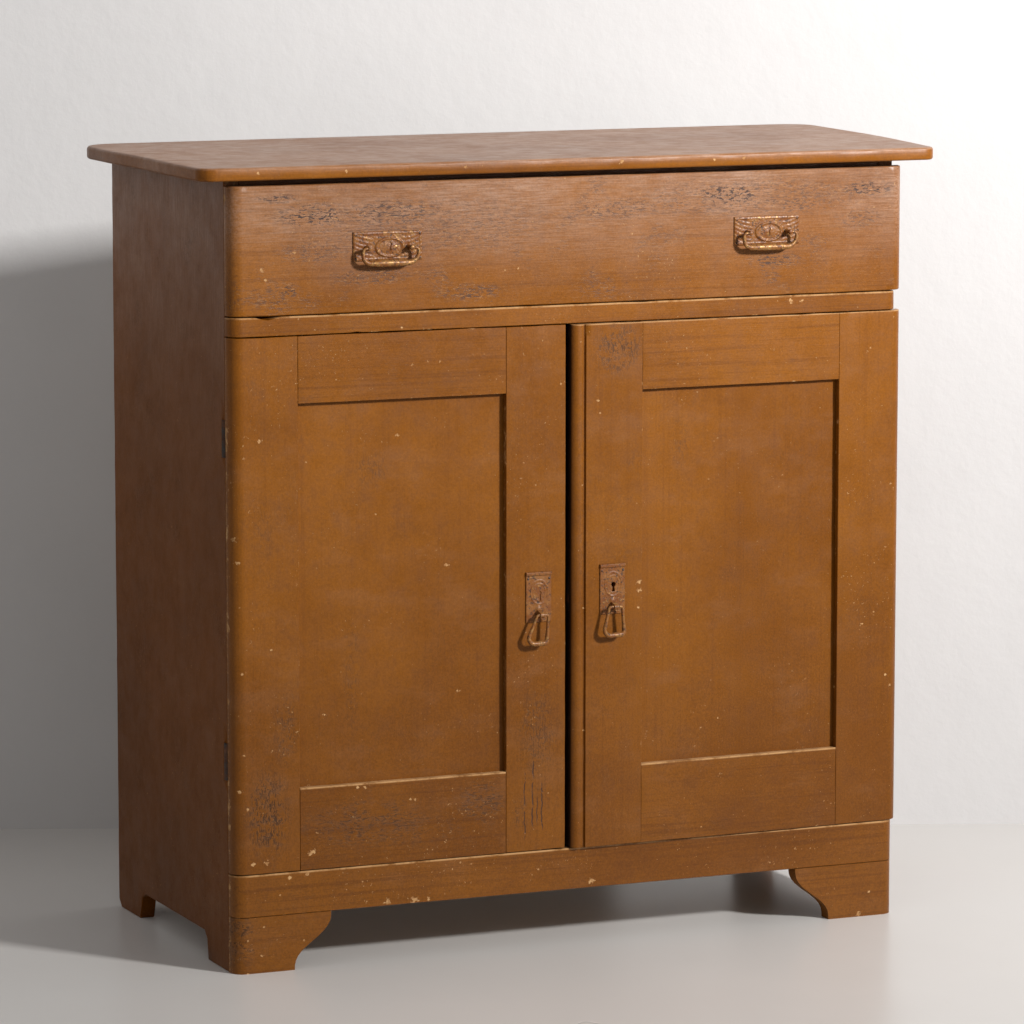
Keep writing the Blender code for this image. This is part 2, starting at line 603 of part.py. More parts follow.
# two slide bolts inside the left door
for word, s, z_edge in (("top", 1.0, DOOR_Z1), ("bottom", -1.0, DOOR_Z0)):
    z_far = z_edge - s * 0.0700
    bm = bmesh.new()
    box(bm, SLIDE_X - 0.0120, SLIDE_X + 0.0120, FACE_T + GAP, FACE_T + GAP + 0.0020,
        *sorted((z_edge - s * 0.0060, z_far)))
    name = "left_door_%s_bolt_plate" % word
    ob = add(name, bm, material(name, IRON, 0.5, 0.8), door_left)
    k = bmesh.new()
    for a in (0.0100, 0.0520):
        box(k, SLIDE_X - 0.0075, SLIDE_X + 0.0075, FACE_T + GAP + 0.0010, SLIDE_Y + 0.0062,
            *sorted((z_edge - s * a, z_edge - s * (a + 0.0100))))
    boolean(ob, helper(name + "_guides", k, door_left), "UNION")
    k = bmesh.new()
    rod(k, (SLIDE_X, SLIDE_Y), "Z", SLIDE_R + 0.0005, *sorted((z_edge, z_far)), 14)
    boolean(ob, helper(name + "_way", k, door_left), "DIFFERENCE")
    axis = empty("left_door_%s_bolt_axis" % word, (SLIDE_X, SLIDE_Y, z_edge - s * 0.036), door_left)
    bm = bmesh.new()
    rod(bm, (SLIDE_X, SLIDE_Y), "Z", SLIDE_R, *sorted((z_edge - s * 0.0036, z_edge - s * 0.0660)), 14)
    name = "left_door_%s_bolt" % word
    ob = add(name, bm, material(name, IRON, 0.4, 0.9), axis)
    k = bmesh.new()
    rod(k, (SLIDE_X, z_edge - s * 0.0420), "Y", 0.0030, SLIDE_Y, SLIDE_Y + 0.0130, 12)
    boolean(ob, helper(name + "_knob", k, axis), "UNION")


# ================================================================== door plates and drop pulls
def door_plate(word, x0, z0, door, through):
    xc = x0 + DOOR_PLATE_W / 2.0
    y1 = -GAP
    y0 = y1 - PLATE_T
    bm = bmesh.new()
    box(bm, x0, x0 + DOOR_PLATE_W, y0, y1, z0, z0 + DOOR_PLATE_H)
    name = word + "_door_plate"
    ob = add(name, bm, material(name, BRASS, 0.45, 0.6), door)
    zp = z0 + PULL_DZ
    k = bmesh.new()
    # ribbed lip along the top and the lug that the pull hangs from
    pts = [(y0 + 0.0005, z0 + DOOR_PLATE_H - 0.0070), (y0 - 0.0012, z0 + DOOR_PLATE_H - 0.0060),
           (y0 - 0.0012, z0 + DOOR_PLATE_H - 0.0008), (y0 + 0.0005, z0 + DOOR_PLATE_H - 0.0002)]
    prism(k, pts, "X", x0 + 0.0004, x0 + DOOR_PLATE_W - 0.0004)
    lug = [(y0 + 0.0005, zp + 0.0055), (PULL_Y - 0.0015, zp + 0.0040), (PULL_Y - 0.0038, zp + 0.0015),
           (PULL_Y - 0.0038, zp - 0.0020), (PULL_Y - 0.0015, zp - 0.0040), (y0 + 0.0005, zp - 0.0050)]
    prism(k, lug, "X", xc - 0.0035, xc + 0.0035)
    boolean(ob, helper(name + "_lip_and_lug", k, door), "UNION")
    k = bmesh.new()
    rod(k, (PULL_Y, zp), "X", 0.0021, xc - 0.006, xc + 0.006, 12)
    kx = KEY_X if through else xc + 0.0018
    kz = LOCK_Z if through else 0.4895
    prism(k, keyhole(kx, kz), "Y", y0 - 0.004, 0.002 if through else y0 + 0.0009)
    boolean(ob, helper(name + "_holes", k, door), "DIFFERENCE")
    axis = empty(word + "_pull_axis", (xc, PULL_Y, zp), door)
    i = 1 if through else 0
    top, low = xc + PULL_TOP_SHIFT[i], xc + PULL_BOTTOM_SHIFT[i]
    ring = fillet([(top - PULL_TOP_HALF[i], zp), (top + PULL_TOP_HALF[i], zp),
                   (low + PULL_BOTTOM_HALF[i], zp - 0.0385), (low - PULL_BOTTOM_HALF[i], zp - 0.0400)],
                  [0.0035, 0.0035, 0.0050, 0.0085], steps=4)
    radii = [0.0015 + 0.0011 * min(1.0, max(0.0, (zp - p[1]) / 0.0395)) ** 2 for p in ring]
    bm = bmesh.new()
    tube(bm, ring, radii, PULL_Y, 8, closed=True)
    add(word + "_door_pull", bm, material(word + "_door_pull", BRASS, 0.4, 0.6), axis, smooth=True)


door_plate("left", DOOR_PLATE_X[0], DOOR_PLATE_Z[0], door_left, False)
door_plate("right", DOOR_PLATE_X[1], DOOR_PLATE_Z[1], door_right, True)

# ================================================================== drawer
bm = bmesh.new()
prism(bm, front_outline(0.0, FRONT_W, FACE_T), "Z", DRAWER_Z0, DRAWER_Z1)
add("drawer_front", bm, material("drawer_front", OCHRE, 0.42), drawer, ease=0.0012)
SLOT_Z0, SLOT_Z1 = BOX_Z0 + 0.0090, BOX_Z0 + 0.0156
for word, x0, s in (("left", BOX_X0, 1.0), ("right", BOX_X1, -1.0)):
    b = x0 + s * BOX_SIDE_T
    g = b - s * 0.0060
    pts = [(x0, BOX_Z0), (b, BOX_Z0), (b, SLOT_Z0), (g, SLOT_Z0), (g, SLOT_Z1), (b, SLOT_Z1),
           (b, BOX_Z1), (x0, BOX_Z1)]
    bm = bmesh.new()
    prism(bm, pts, "Y", FACE_T + GAP, BOX_Y1)
    add("drawer_side_" + word, bm, material("drawer_side_" + word, BARE, 0.7), drawer, ease=0.0)
board("drawer_bottom", material("drawer_bottom", BARE, 0.7),
      (BOX_X0 + BOX_SIDE_T - 0.0057, BOX_X1 - BOX_SIDE_T + 0.0057, FACE_T + GAP, BOX_Y1,
       SLOT_Z0 + GAP, SLOT_Z1 - GAP), drawer, ease=0.0)
board("drawer_back", material("drawer_back", BARE, 0.7),
      (BOX_X0 + BOX_SIDE_T + GAP, BOX_X1 - BOX_SIDE_T - GAP, BOX_Y1 - 0.0140, BOX_Y1 - 0.0010,
       SLOT_Z1 + GAP, BOX_Z1 - 0.0080), drawer)


def dome(bm, xc, zc, rx, rz, y_base, rise, n=20):
    """Low oval boss that stands out of a plate."""
    levels = ((1.00, 0.0), (0.97, 0.55), (0.82, 0.85), (0.50, 0.97))
    rings = [[bm.verts.new((xc + rx * f * math.cos(2 * math.pi * i / n),
                            y_base - rise * h,
                            zc + rz * f * math.sin(2 * math.pi * i / n))) for i in range(n)]
             for f, h in levels]
    for q, w in zip(rings, rings[1:]):
        for i in range(n):
            bm.faces.new((q[i], q[(i + 1) % n], w[(i + 1) % n], w[i]))
    bm.faces.new(rings[0])
    bm.faces.new(rings[-1])


def drawer_pull(word, xc, zc):
    y1 = -GAP
    y0 = y1 - PLATE_T
    zp = zc + POST_DZ
    bm = bmesh.new()
    box(bm, xc - PULL_W / 2, xc + PULL_W / 2, y0, y1, zc - PULL_H / 2, zc + PULL_H / 2)
    name = "drawer_plate_" + word
    ob = add(name, bm, material(name, BRASS, 0.45, 0.6), drawer)
    k = bmesh.new()
    dome(k, xc + 0.0030, zc - 0.0020, 0.0200, 0.0125, y0 + 0.0006, 0.0032)
    for s in (-1.0, 1.0):
        rod(k, (xc + s * POST_DX, zp), "Y", POST_R, y1 - POST_LEN, y0 + 0.0006, 12)
    boolean(ob, helper(name + "_boss_and_posts", k, drawer), "UNION")
    k = bmesh.new()
    for s in (-1.0, 1.0):
        rod(k, (BAIL_Y, zp), "X", 0.0021, xc + s * POST_DX - 0.006, xc + s * POST_DX + 0.006, 12)
    prism(k, keyhole(xc + 0.0030, zc - 0.0030), "Y", y0 - 0.0060, y0 - 0.0004)
    boolean(ob, helper(name + "_holes", k, drawer), "DIFFERENCE")
    axis = empty("bail_%s_axis" % word, (xc, BAIL_Y, zp), drawer)
    h, d = BAIL_HALF, BAIL_DROP
    path = fillet([(xc - 0.0285, zp), (xc - h, zp), (xc - h, zp - d), (xc + h, zp - d),
                   (xc + h, zp), (xc + 0.0285, zp)],
                  [0.0, 0.0050, 0.0110, 0.0145, 0.0050, 0.0], steps=5, closed=False)
    path.insert(1, (xc - 0.0340, zp))
    path.insert(len(path) // 2, (xc, zp - d))
    path.insert(-1, (xc + 0.0340, zp))
    radii = []
    for p in path:
        low = min(1.0, max(0.0, (zp - p[1]) / d))
        mid = max(0.0, 1.0 - abs(p[0] - xc) / h)
        radii.append(0.0016 + 0.0008 * low + 0.0013 * mid * low)
    bm = bmesh.new()
    tube(bm, path, radii, BAIL_Y, 8)
    add("drawer_bail_" + word, bm, material("drawer_bail_" + word, BRASS, 0.4, 0.6), axis, smooth=True)


drawer_pull("left", PULL_XC[0], PULL_ZC[0])
drawer_pull("right", PULL_XC[1], PULL_ZC[1])
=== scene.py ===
import math

import bmesh
import bpy
from mathutils import Matrix, Vector, noise


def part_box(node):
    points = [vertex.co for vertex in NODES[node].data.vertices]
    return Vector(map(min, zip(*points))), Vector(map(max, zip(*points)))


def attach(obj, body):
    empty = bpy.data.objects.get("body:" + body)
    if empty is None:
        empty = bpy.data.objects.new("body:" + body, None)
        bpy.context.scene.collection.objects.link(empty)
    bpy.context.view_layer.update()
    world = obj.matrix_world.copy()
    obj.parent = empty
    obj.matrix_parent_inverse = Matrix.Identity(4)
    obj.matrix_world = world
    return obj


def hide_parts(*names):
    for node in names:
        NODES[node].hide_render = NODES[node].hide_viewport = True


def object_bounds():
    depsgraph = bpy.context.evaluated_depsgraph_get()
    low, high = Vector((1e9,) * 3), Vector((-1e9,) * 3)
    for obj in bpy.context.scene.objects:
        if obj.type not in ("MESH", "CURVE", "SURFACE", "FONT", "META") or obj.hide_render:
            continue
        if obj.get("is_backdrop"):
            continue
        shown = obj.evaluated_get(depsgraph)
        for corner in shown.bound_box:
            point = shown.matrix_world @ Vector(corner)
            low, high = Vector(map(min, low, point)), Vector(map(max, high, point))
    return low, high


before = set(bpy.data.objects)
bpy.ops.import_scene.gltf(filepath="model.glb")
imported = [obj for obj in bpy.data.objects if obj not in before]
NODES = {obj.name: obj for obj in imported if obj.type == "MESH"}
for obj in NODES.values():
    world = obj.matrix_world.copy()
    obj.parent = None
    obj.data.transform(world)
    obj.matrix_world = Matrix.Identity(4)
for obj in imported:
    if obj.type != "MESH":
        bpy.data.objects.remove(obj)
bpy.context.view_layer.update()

# ------------------------------------------------------------------ places
# Lengths are first given from the cabinet's front-left corner on the floor (x to the right,
# y to the back, z up) and then moved into the frame.
X0, Y0 = -0.5265, -0.2497
FACE_T = 0.0222
AJAR = math.radians(0.95)
PIN_LEFT = Vector((0.0020 + X0, 0.0278 + Y0, 0.0))
PIN_RIGHT = Vector((0.9940 + X0, 0.0278 + Y0, 0.0))

AJAR_TURN = (Matrix.Translation(PIN_RIGHT) @ Matrix.Rotation(AJAR, 4, "Z")
             @ Matrix.Translation(-PIN_RIGHT))


# ================================================================== node helper
class Net:
    """A short way to write a material's nodes."""

    def __init__(self, name):
        self.mat = bpy.data.materials.new(name)
        self.mat.use_nodes = True
        self.t = self.mat.node_tree
        self.t.nodes.clear()
        self.out = self.t.nodes.new("ShaderNodeOutputMaterial")
        self.bsdf = self.t.nodes.new("ShaderNodeBsdfPrincipled")
        self.t.links.new(self.bsdf.outputs[0], self.out.inputs[0])
        coord = self.t.nodes.new("ShaderNodeTexCoord")
        self.pos = coord.outputs["Object"]
        sep = self.t.nodes.new("ShaderNodeSeparateXYZ")
        self.t.links.new(self.pos, sep.inputs[0])
        self.x, self.y, self.z = sep.outputs

    def put(self, socket, value):
        if isinstance(value, bpy.types.NodeSocket):
            self.t.links.new(value, socket)
        else:
            socket.default_value = value

    def m(self, op, a, b=0.0, c=0.0, clamp=False):
        n = self.t.nodes.new("ShaderNodeMath")
        n.operation = op
        n.use_clamp = clamp
        self.put(n.inputs[0], a)
        self.put(n.inputs[1], b)
        self.put(n.inputs[2], c)
        return n.outputs[0]

    def add(self, a, b):
        return self.m("ADD", a, b)

    def sub(self, a, b):
        return self.m("SUBTRACT", a, b)

    def mul(self, a, b):
        return self.m("MULTIPLY", a, b)

    def low(self, a, b):
        return self.m("MINIMUM", a, b)

    def top(self, a, b):
        return self.m("MAXIMUM", a, b)

    def step(self, v, a, b, lo=0.0, hi=1.0):
        """Smooth change from lo to hi while v goes from a to b."""
        n = self.t.nodes.new("ShaderNodeMapRange")
        n.interpolation_type = "SMOOTHSTEP"
        self.put(n.inputs["Value"], v)
        n.inputs["From Min"].default_value = a
        n.inputs["From Max"].default_value = b
        n.inputs["To Min"].default_value = lo
        n.inputs["To Max"].default_value = hi
        return n.outputs[0]

    def scaled(self, s, shift=(0, 0, 0)):
        n = self.t.nodes.new("ShaderNodeMapping")
        self.put(n.inputs["Vector"], self.pos)
        n.inputs["Scale"].default_value = s
        n.inputs["Location"].default_value = shift
        return n.outputs[0]

    def noise(self, s, shift=(0, 0, 0), detail=3.0, rough=0.55, warp=0.0):
        n = self.t.nodes.new("ShaderNodeTexNoise")
        self.put(n.inputs["Vector"], self.scaled(s, shift))
        n.inputs["Scale"].default_value = 1.0
        n.inputs["Detail"].default_value = detail
        n.inputs["Roughness"].default_value = rough
        n.inputs["Distortion"].default_value = warp
        return n.outputs["Fac"]

    def cells(self, s, shift=(0, 0, 0), feature="F1", rand=1.0):
        n = self.t.nodes.new("ShaderNodeTexVoronoi")
        n.feature = feature
        self.put(n.inputs["Vector"], self.scaled(s, shift))
        n.inputs["Scale"].default_value = 1.0
        n.inputs["Randomness"].default_value = rand
        return n.outputs["Distance"]

    def mix(self, f, a, b):
        n = self.t.nodes.new("ShaderNodeMix")
        n.data_type = "RGBA"
        n.clamp_factor = True
        self.put(n.inputs[0], f)
        self.put(n.inputs[6], a if isinstance(a, bpy.types.NodeSocket) else (*a, 1.0))
        self.put(n.inputs[7], b if isinstance(b, bpy.types.NodeSocket) else (*b, 1.0))
        return n.outputs[2]

    def shade(self, colour, factor):
        """The colour made darker or lighter by a factor."""
        n = self.t.nodes.new("ShaderNodeVectorMath")
        n.operation = "SCALE"
        self.put(n.inputs[0], colour)
        self.put(n.inputs["Scale"], factor)
        return n.outputs[0]

    def bump(self, height, strength, distance, normal=None):
        n = self.t.nodes.new("ShaderNodeBump")
        n.inputs["Strength"].default_value = strength
        n.inputs["Distance"].default_value = distance
        self.put(n.inputs["Height"], height)
        if normal is not None:
            self.put(n.inputs["Normal"], normal)
        return n.outputs[0]

    def blob(self, x, z, rx, rz):
        """1 in the middle of a soft ellipse on the front, 0 outside it."""
        dx = self.mul(self.sub(self.x, x + X0), 1.0 / rx)
        dz = self.mul(self.sub(self.z, z), 1.0 / rz)
        d = self.m("SQRT", self.add(self.mul(dx, dx), self.mul(dz, dz)))
        return self.step(d, 1.0, 0.25)

    def blobs(self, items):
        got = None
        for i in items:
            b = self.blob(*i)
            got = b if got is None else self.top(got, b)
        return got if got is not None else 0.0

    def finish(self, colour, rough, normal=None, metallic=None, specular=0.5, coat=None):
        self.put(self.bsdf.inputs["Base Color"], colour)
        self.put(self.bsdf.inputs["Roughness"], rough)
        self.bsdf.inputs["Specular IOR Level"].default_value = specular
        if metallic is not None:
            self.put(self.bsdf.inputs["Metallic"], metallic)
        if normal is not None:
            self.put(self.bsdf.inputs["Normal"], normal)
        return self.mat


# ================================================================== materials
PAINT = (0.163, 0.0500, 0.0018)
# darker paint; also the base colour of the top rail, where it is painted shade
PAINT_DARK_AND_SHADE = (0.100, 0.0295, 0.0026)
PAINT_WARM = (0.205, 0.0680, 0.0040)
PALE_SCUFF_AND_SHEEN = (0.330, 0.215, 0.155)            # scuffed, bleached paint, and a painted sheen where it is kept to a height band
UNDER = (0.340, 0.170, 0.060)           # older, lighter paint and bare wood in the chips
HAZE = (0.245, 0.118, 0.058)            # the bloom of old varnish over the paint
LIP = (0.340, 0.185, 0.080)             # curled edges of the crackle, with a painted highlight
CRACK = (0.030, 0.021, 0.021)
SOOT = (0.088, 0.048, 0.030)


def paint(name, box, along="Z", crazed=(), chips=(), edges="xXzZ", wear=0.5, craze=0.5,
          pale=0.0, pale_band=None, cracks=(), seed=0.0, base=PAINT, rough=0.38, arris="", specular=0.22, falloff_shade=1.0,
          grime=""):
    """Old oil paint over pine. along is the grain's direction; crazed are soft ellipses where the
    paint has crazed dark; chips are (x, z, radius) where it has come off; edges are the sides of
    the board's box that are worn: x X left and right, y Y front and back, z Z bottom and top."""
    n = Net(name)
    lo, hi = box
    horizontal = along == "X"
    upper = lo.z > 0.87
    s = seed

    def along_scale(a, b):
        """a along the grain, b across it."""
        return {"X": (a, b, b), "Y": (b, a, b), "Z": (b, b, a)}[along]

    # broad cloudiness, brush marks and the grain that shows through
    fibre = 1.0 if horizontal else 0.42
    cloud = n.noise((3.1, 3.1, 2.4), (s, 0, s), 4.0, 0.6)
    haze = n.noise((9.0, 9.0, 21.0), (s, 2, s), 5.0, 0.65)
    mottle = n.noise((38, 38, 30), (s, 2, 0), 5.0, 0.65)
    grain = n.noise(along_scale(2.2, 190.0), (s, 0, 0), 4.0, 0.6)
    brush = n.noise(along_scale(24.0, 460.0), (0, s, 0), 3.0, 0.7)
    fine = n.noise((390, 390, 390), (s, 4, 4), 3.0, 0.75)
    c = n.mix(n.step(cloud, 0.32, 0.68), tuple(0.92 * v for v in base),
              PAINT_WARM if base is PAINT else tuple(1.12 * v for v in base))
    c = n.mix(n.mul(n.step(haze, 0.50, 0.72), 0.16), c, HAZE)
    c = n.mix(n.mul(n.step(haze, 0.46, 0.28), 0.22), c, PAINT_DARK_AND_SHADE)
    c = n.mix(n.mul(n.step(mottle, 0.50, 0.74), 0.24), c, PAINT_DARK_AND_SHADE)
    c = n.mix(n.mul(n.step(grain, 0.50, 0.68), 0.40 * fibre), c, PAINT_DARK_AND_SHADE)
    c = n.mix(n.mul(n.step(brush, 0.54, 0.74), 0.42 * fibre), c, PAINT_WARM)
    c = n.mix(n.mul(n.step(brush, 0.46, 0.26), 0.36 * fibre), c, PAINT_DARK_AND_SHADE)
    # pale patches: scuffed paint, and within the given height band a painted sheen standing in for the reflection on
    # the upper parts
    if pale:
        amount = n.mul(n.step(n.noise((6, 6, 9), (s, 4, 1), 5.0, 0.65), 0.34, 0.62, 0.40, 1.0), pale)
        amount = n.mul(amount, n.step(brush, 0.36, 0.66, 0.55, 1.45))
        if pale_band is not None:
            amount = n.mul(amount, n.step(n.z, pale_band[0], pale_band[1]))
        c = n.mix(amount, c, PALE_SCUFF_AND_SHEEN)
    # painted shade: the colour darkens towards the bottom (by up to a fifth) and lightens a little at the top, standing
    # in for the lamp's falloff
    c = n.shade(c, n.add(n.step(fine, 0.26, 0.74, 0.86, 1.14), n.step(n.z, 0.0, 1.08, -0.20 * falloff_shade, 0.04)))

    # crazing: broken dark dashes that lie along the grain, thick inside the soft ellipses
    field = n.step(n.noise((13, 13, 17), (s, 7, 2), 4.0, 0.6), 0.52, 0.70)
    zone = n.mul(field, craze * 0.55)
    for (bx, bz, rx, rz, power) in crazed:
        inside = n.mul(n.blob(bx, bz, rx * 1.1, rz * 1.1), power)
        zone = n.top(zone, n.mul(inside, n.step(n.noise((46, 46, 70), (bx, 1, bz), 4.0, 0.65),
                                            *((0.30, 0.48) if upper else (0.36, 0.54)))))
    dash = n.noise(along_scale(120.0, 400.0), (s, 3, 5), 2.0, 0.6, 0.4)
    cross = n.noise(along_scale(330.0, 150.0), (s, 9, 5), 2.0, 0.6, 0.4)
    dots = n.noise((380, 380, 380), (s, 1, 8), 2.0, 0.6)
    line = n.top(n.step(dash, 0.530, 0.572), n.top(n.mul(n.step(dots, 0.600, 0.650), 0.8),
                                                   n.mul(n.step(cross, 0.600, 0.640), 0.2 if horizontal else 0.8)))
    crazing = n.m("MULTIPLY", line, zone, clamp=True)
    scatter = n.mul(n.step(n.noise(along_scale(150, 380), (9, s, 1), 3.0, 0.6), 0.675, 0.720), 0.85 * craze)
    dark = n.top(crazing, scatter)
    c = n.mix(n.mul(n.step(n.noise((90, 90, 120), (s, 5, 5), 3.0, 0.6), 0.42, 0.62), n.mul(zone, 0.34)), c, SOOT)
    c = n.mix(n.mul(dark, 0.94 if upper else 0.85), c, CRACK if upper else (0.036, 0.016, 0.006))
    # lighter curled lips beside the cracks: the curled paint, with a painted highlight where its edges catch the light
    lip = n.noise(along_scale(140.0, 430.0), (s, 13, 5), 2.0, 0.6, 0.3)
    lips = n.mul(n.step(lip, 0.61, 0.66), n.add(n.mul(zone, 0.50 if upper else 0.12), 0.13 * craze))
    c = n.mix(n.mul(lips, n.sub(1.0, dark)), c, LIP)

    # distance to the worn sides of the board
    near = 10.0
    rub_and_highlight = 10.0
    for key, v, side in (("x", n.x, lo.x), ("X", n.x, hi.x), ("y", n.y, lo.y), ("Y", n.y, hi.y),
                         ("z", n.z, lo.z), ("Z", n.z, hi.z)):
        d = n.sub(v, side) if key.islower() else n.sub(side, v)
        if key in edges:
            near = d if near == 10.0 else n.low(near, d)
        if key in arris:
            rub_and_highlight = d if rub_and_highlight == 10.0 else n.low(rub_and_highlight, d)
    worn = 0.0
    if near != 10.0:
        ragged = n.noise((55, 55, 55), (s, 6, 3), 5.0, 0.7)
        fine = n.noise((260, 260, 260), (3, s, 3), 3.0, 0.65)
        reach = n.add(n.mul(n.step(ragged, 0.54, 0.80), 0.0060 * wear), n.mul(n.step(fine, 0.50, 0.74), 0.0014 * wear))
        worn = n.step(n.sub(reach, near), -0.0001, 0.0005)
    flock = n.step(n.noise((14, 14, 14), (s, 3, 9), 3.0, 0.6), 0.46, 0.62, 0.0, 0.055)
    fleck = n.step(n.add(n.noise((230, 230, 230), (s, 1, 2), 3.0, 0.6), flock), 0.722, 0.750)
    bare = n.top(worn, n.mul(fleck, min(0.8, 0.3 + wear)))
    for (cx, cz, cr) in chips:
        wob = n.noise((240, 240, 240), (cx, cz, 1), 3.0, 0.65)
        dx = n.sub(n.x, cx + X0)
        dz = n.mul(n.sub(n.z, cz), 1.25)
        d = n.add(n.m("SQRT", n.add(n.mul(dx, dx), n.mul(dz, dz))), n.mul(n.sub(wob, 0.5), cr * 4.2))
        bare = n.top(bare, n.step(d, cr * 0.78, cr * 0.60))
    c = n.mix(n.mul(bare, 0.80), c, n.mix(n.step(n.noise((160, 160, 160), (1, 2, s), 3.0), 0.40, 0.62), UNDER, (0.52, 0.31, 0.135)))
    # a thin lighter line along the arris sides: rubbed paint, and a painted highlight on the lit top edges
    if rub_and_highlight != 10.0:
        gleam = n.mul(n.step(rub_and_highlight, 0.0030, 0.0012), n.step(n.noise((28, 28, 28), (s, 8, 8), 5.0, 0.7), 0.34, 0.56, 0.15, 0.95))
        c = n.mix(gleam, c, (0.420, 0.235, 0.100))

    # painted shade: behind the front, the edge face in the narrow gap between the doors is darkened nearly to black
    for key in grime:
        d = n.sub(n.x, lo.x) if key == "x" else n.sub(hi.x, n.x)
        gap_shade_mask = n.mul(n.step(d, 0.0020, 0.0006), n.step(n.sub(n.y, lo.y), 0.0012, 0.0040))
        c = n.mix(n.mul(gap_shade_mask, 0.93), c, (0.010, 0.005, 0.003))

    # single long cracks (x, z0, z1) along the grain of an upright board
    slit = 0.0
    for (cx, z0, z1, w) in cracks:
        wob = n.mul(n.sub(n.noise((9, 9, 42), (cx, z0, 0), 4.0, 0.6), 0.5), 0.010)
        d = n.m("ABSOLUTE", n.add(n.sub(n.x, cx + X0), wob))
        one = n.mul(n.step(d, w, w * 0.25), n.mul(n.step(n.z, z0, z0 + 0.012), n.step(n.z, z1, z1 - 0.012)))
        broken = n.step(n.noise((20, 20, 70), (cx, 5, 0), 3.0, 0.6), 0.38, 0.50)
        one = n.mul(one, broken)
        slit = one if slit == 0.0 else n.top(slit, one)
    if cracks:
        c = n.mix(n.mul(slit, 0.8), c, CRACK)

    height = n.add(n.mul(grain, 0.26 * fibre), n.add(n.mul(brush, 0.30 * fibre), n.mul(mottle, 0.30)))
    height = n.add(height, n.add(n.mul(fine, 0.30), n.mul(lips, 0.15)))
    height = n.sub(height, n.mul(dark, 0.45))
    height = n.sub(height, n.mul(bare, 0.55) if bare != 0.0 else 0.0)
    if cracks:
        height = n.sub(height, n.mul(slit, 1.6))
    normal = n.bump(height, 0.60, 0.00060)
    r = n.add(n.step(mottle, 0.3, 0.75, rough - 0.06, rough + 0.08), n.add(n.mul(bare, 0.22), n.mul(dark, 0.28)))
    return n.finish(c, r, normal, specular=specular)


def bare_wood(name, along, seed=0.0, tone=1.0):
    """Unpainted, aged pine with rings, a few knots and dust."""
    n = Net(name)

    def scale(a, b):
        return {"X": (a, b, b), "Y": (b, a, b), "Z": (b, b, a)}[along]

    rings = n.noise(scale(0.9, 19.0), (seed, seed, 0), 2.0, 0.5, 0.6)
    bands = n.m("FRACT", n.mul(rings, 13.0))
    late = n.step(bands, 0.45, 0.95)
    fibre = n.noise(scale(8.0, 420.0), (0, seed, 0), 4.0, 0.65)
    dust = n.noise((9, 9, 9), (seed, 1, 1), 5.0, 0.6)
    knots = n.cells(scale(1.7, 5.5), (seed, 0.3, seed))
    knot = n.step(knots, 0.13, 0.05)
    c = n.mix(late, tuple(tone * v for v in (0.400, 0.240, 0.110)), tuple(tone * v for v in (0.250, 0.125, 0.048)))
    c = n.mix(n.mul(n.step(fibre, 0.45, 0.70), 0.45), c, tuple(tone * v for v in (0.190, 0.100, 0.045)))
    c = n.mix(n.mul(knot, 0.85), c, (0.090, 0.038, 0.015))
    c = n.mix(n.mul(n.step(dust, 0.42, 0.72), 0.40), c, tuple(tone * v for v in (0.185, 0.130, 0.082)))
    normal = n.bump(n.add(n.mul(fibre, 0.6), n.mul(late, 0.25)), 0.6, 0.0004)
    return n.finish(c, n.step(dust, 0.3, 0.7, 0.58, 0.80), normal, specular=0.3)


def iron(name, seed=0.0, rust=0.5):
    n = Net(name)
    cloud = n.noise((60, 60, 60), (seed, 0, 0), 5.0, 0.65)
    pit = n.noise((520, 520, 520), (seed, 1, 0), 3.0, 0.6)
    c = n.mix(n.step(cloud, 0.40, 0.66), (0.060, 0.052, 0.048), (0.115, 0.045, 0.020))
    c = n.mix(n.mul(n.step(pit, 0.50, 0.72), 0.6), c, (0.030, 0.024, 0.022))
    metal = n.step(cloud, 0.40 + 0.2 * (1 - rust), 0.70, 0.85, 0.15)
    return n.finish(c, n.step(cloud, 0.35, 0.70, 0.42, 0.72), n.bump(n.add(pit, n.mul(cloud, 0.5)), 0.6, 0.0003), metal)


def handle(name, shine=0.35, seed=0.0, lo=None, hi=None):
    """Pressed brass that was painted over with the cabinet and has rubbed bright in places."""
    n = Net(name)
    rub_and_highlight = n.noise((150, 150, 150), (seed, 3, 0), 4.0, 0.62)
    grime = n.noise((300, 300, 300), (0, seed, 3), 4.0, 0.65)
    tone = n.noise((75, 75, 75), (seed, 5, 5), 3.0, 0.55)
    bare = n.step(rub_and_highlight, 0.60 - 0.22 * shine, 0.70 - 0.18 * shine)
    c = n.mix(n.step(tone, 0.35, 0.65), (0.150, 0.046, 0.006), (0.200, 0.076, 0.015))
    c = n.mix(n.mul(bare, 0.75), c, n.mix(n.step(tone, 0.45, 0.62), (0.340, 0.185, 0.062), (0.240, 0.125, 0.042)))
    c = n.mix(n.mul(n.step(grime, 0.52, 0.64), 0.85), c, (0.028, 0.014, 0.010))
    metal = n.mul(bare, 0.35)
    r = n.step(grime, 0.35, 0.70, 0.34, 0.62)
    return n.finish(c, r, n.bump(n.add(n.mul(grime, -0.7), n.mul(rub_and_highlight, 0.6)), 0.7, 0.0004), metal, specular=0.32)


# ================================================================== mesh helpers
def link(name, bm, mat, body, smooth=None):
    bmesh.ops.recalc_face_normals(bm, faces=bm.faces)
    me = bpy.data.meshes.new(name)
    bm.to_mesh(me)
    bm.free()
    ob = bpy.data.objects.new(name, me)
    bpy.context.scene.collection.objects.link(ob)
    me.materials.append(mat)
    if smooth is not None:
        me.shade_smooth()
        me.set_sharp_from_angle(angle=math.radians(smooth))
    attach(ob, body)
    return ob


def fbm(p, scale, octaves=3):
    v, a, t = 0.0, 1.0, 0.0
    for _ in range(octaves):
        v += a * noise.noise(p * scale)
        t += a
        a *= 0.5
        scale *= 2.1
    return v / t


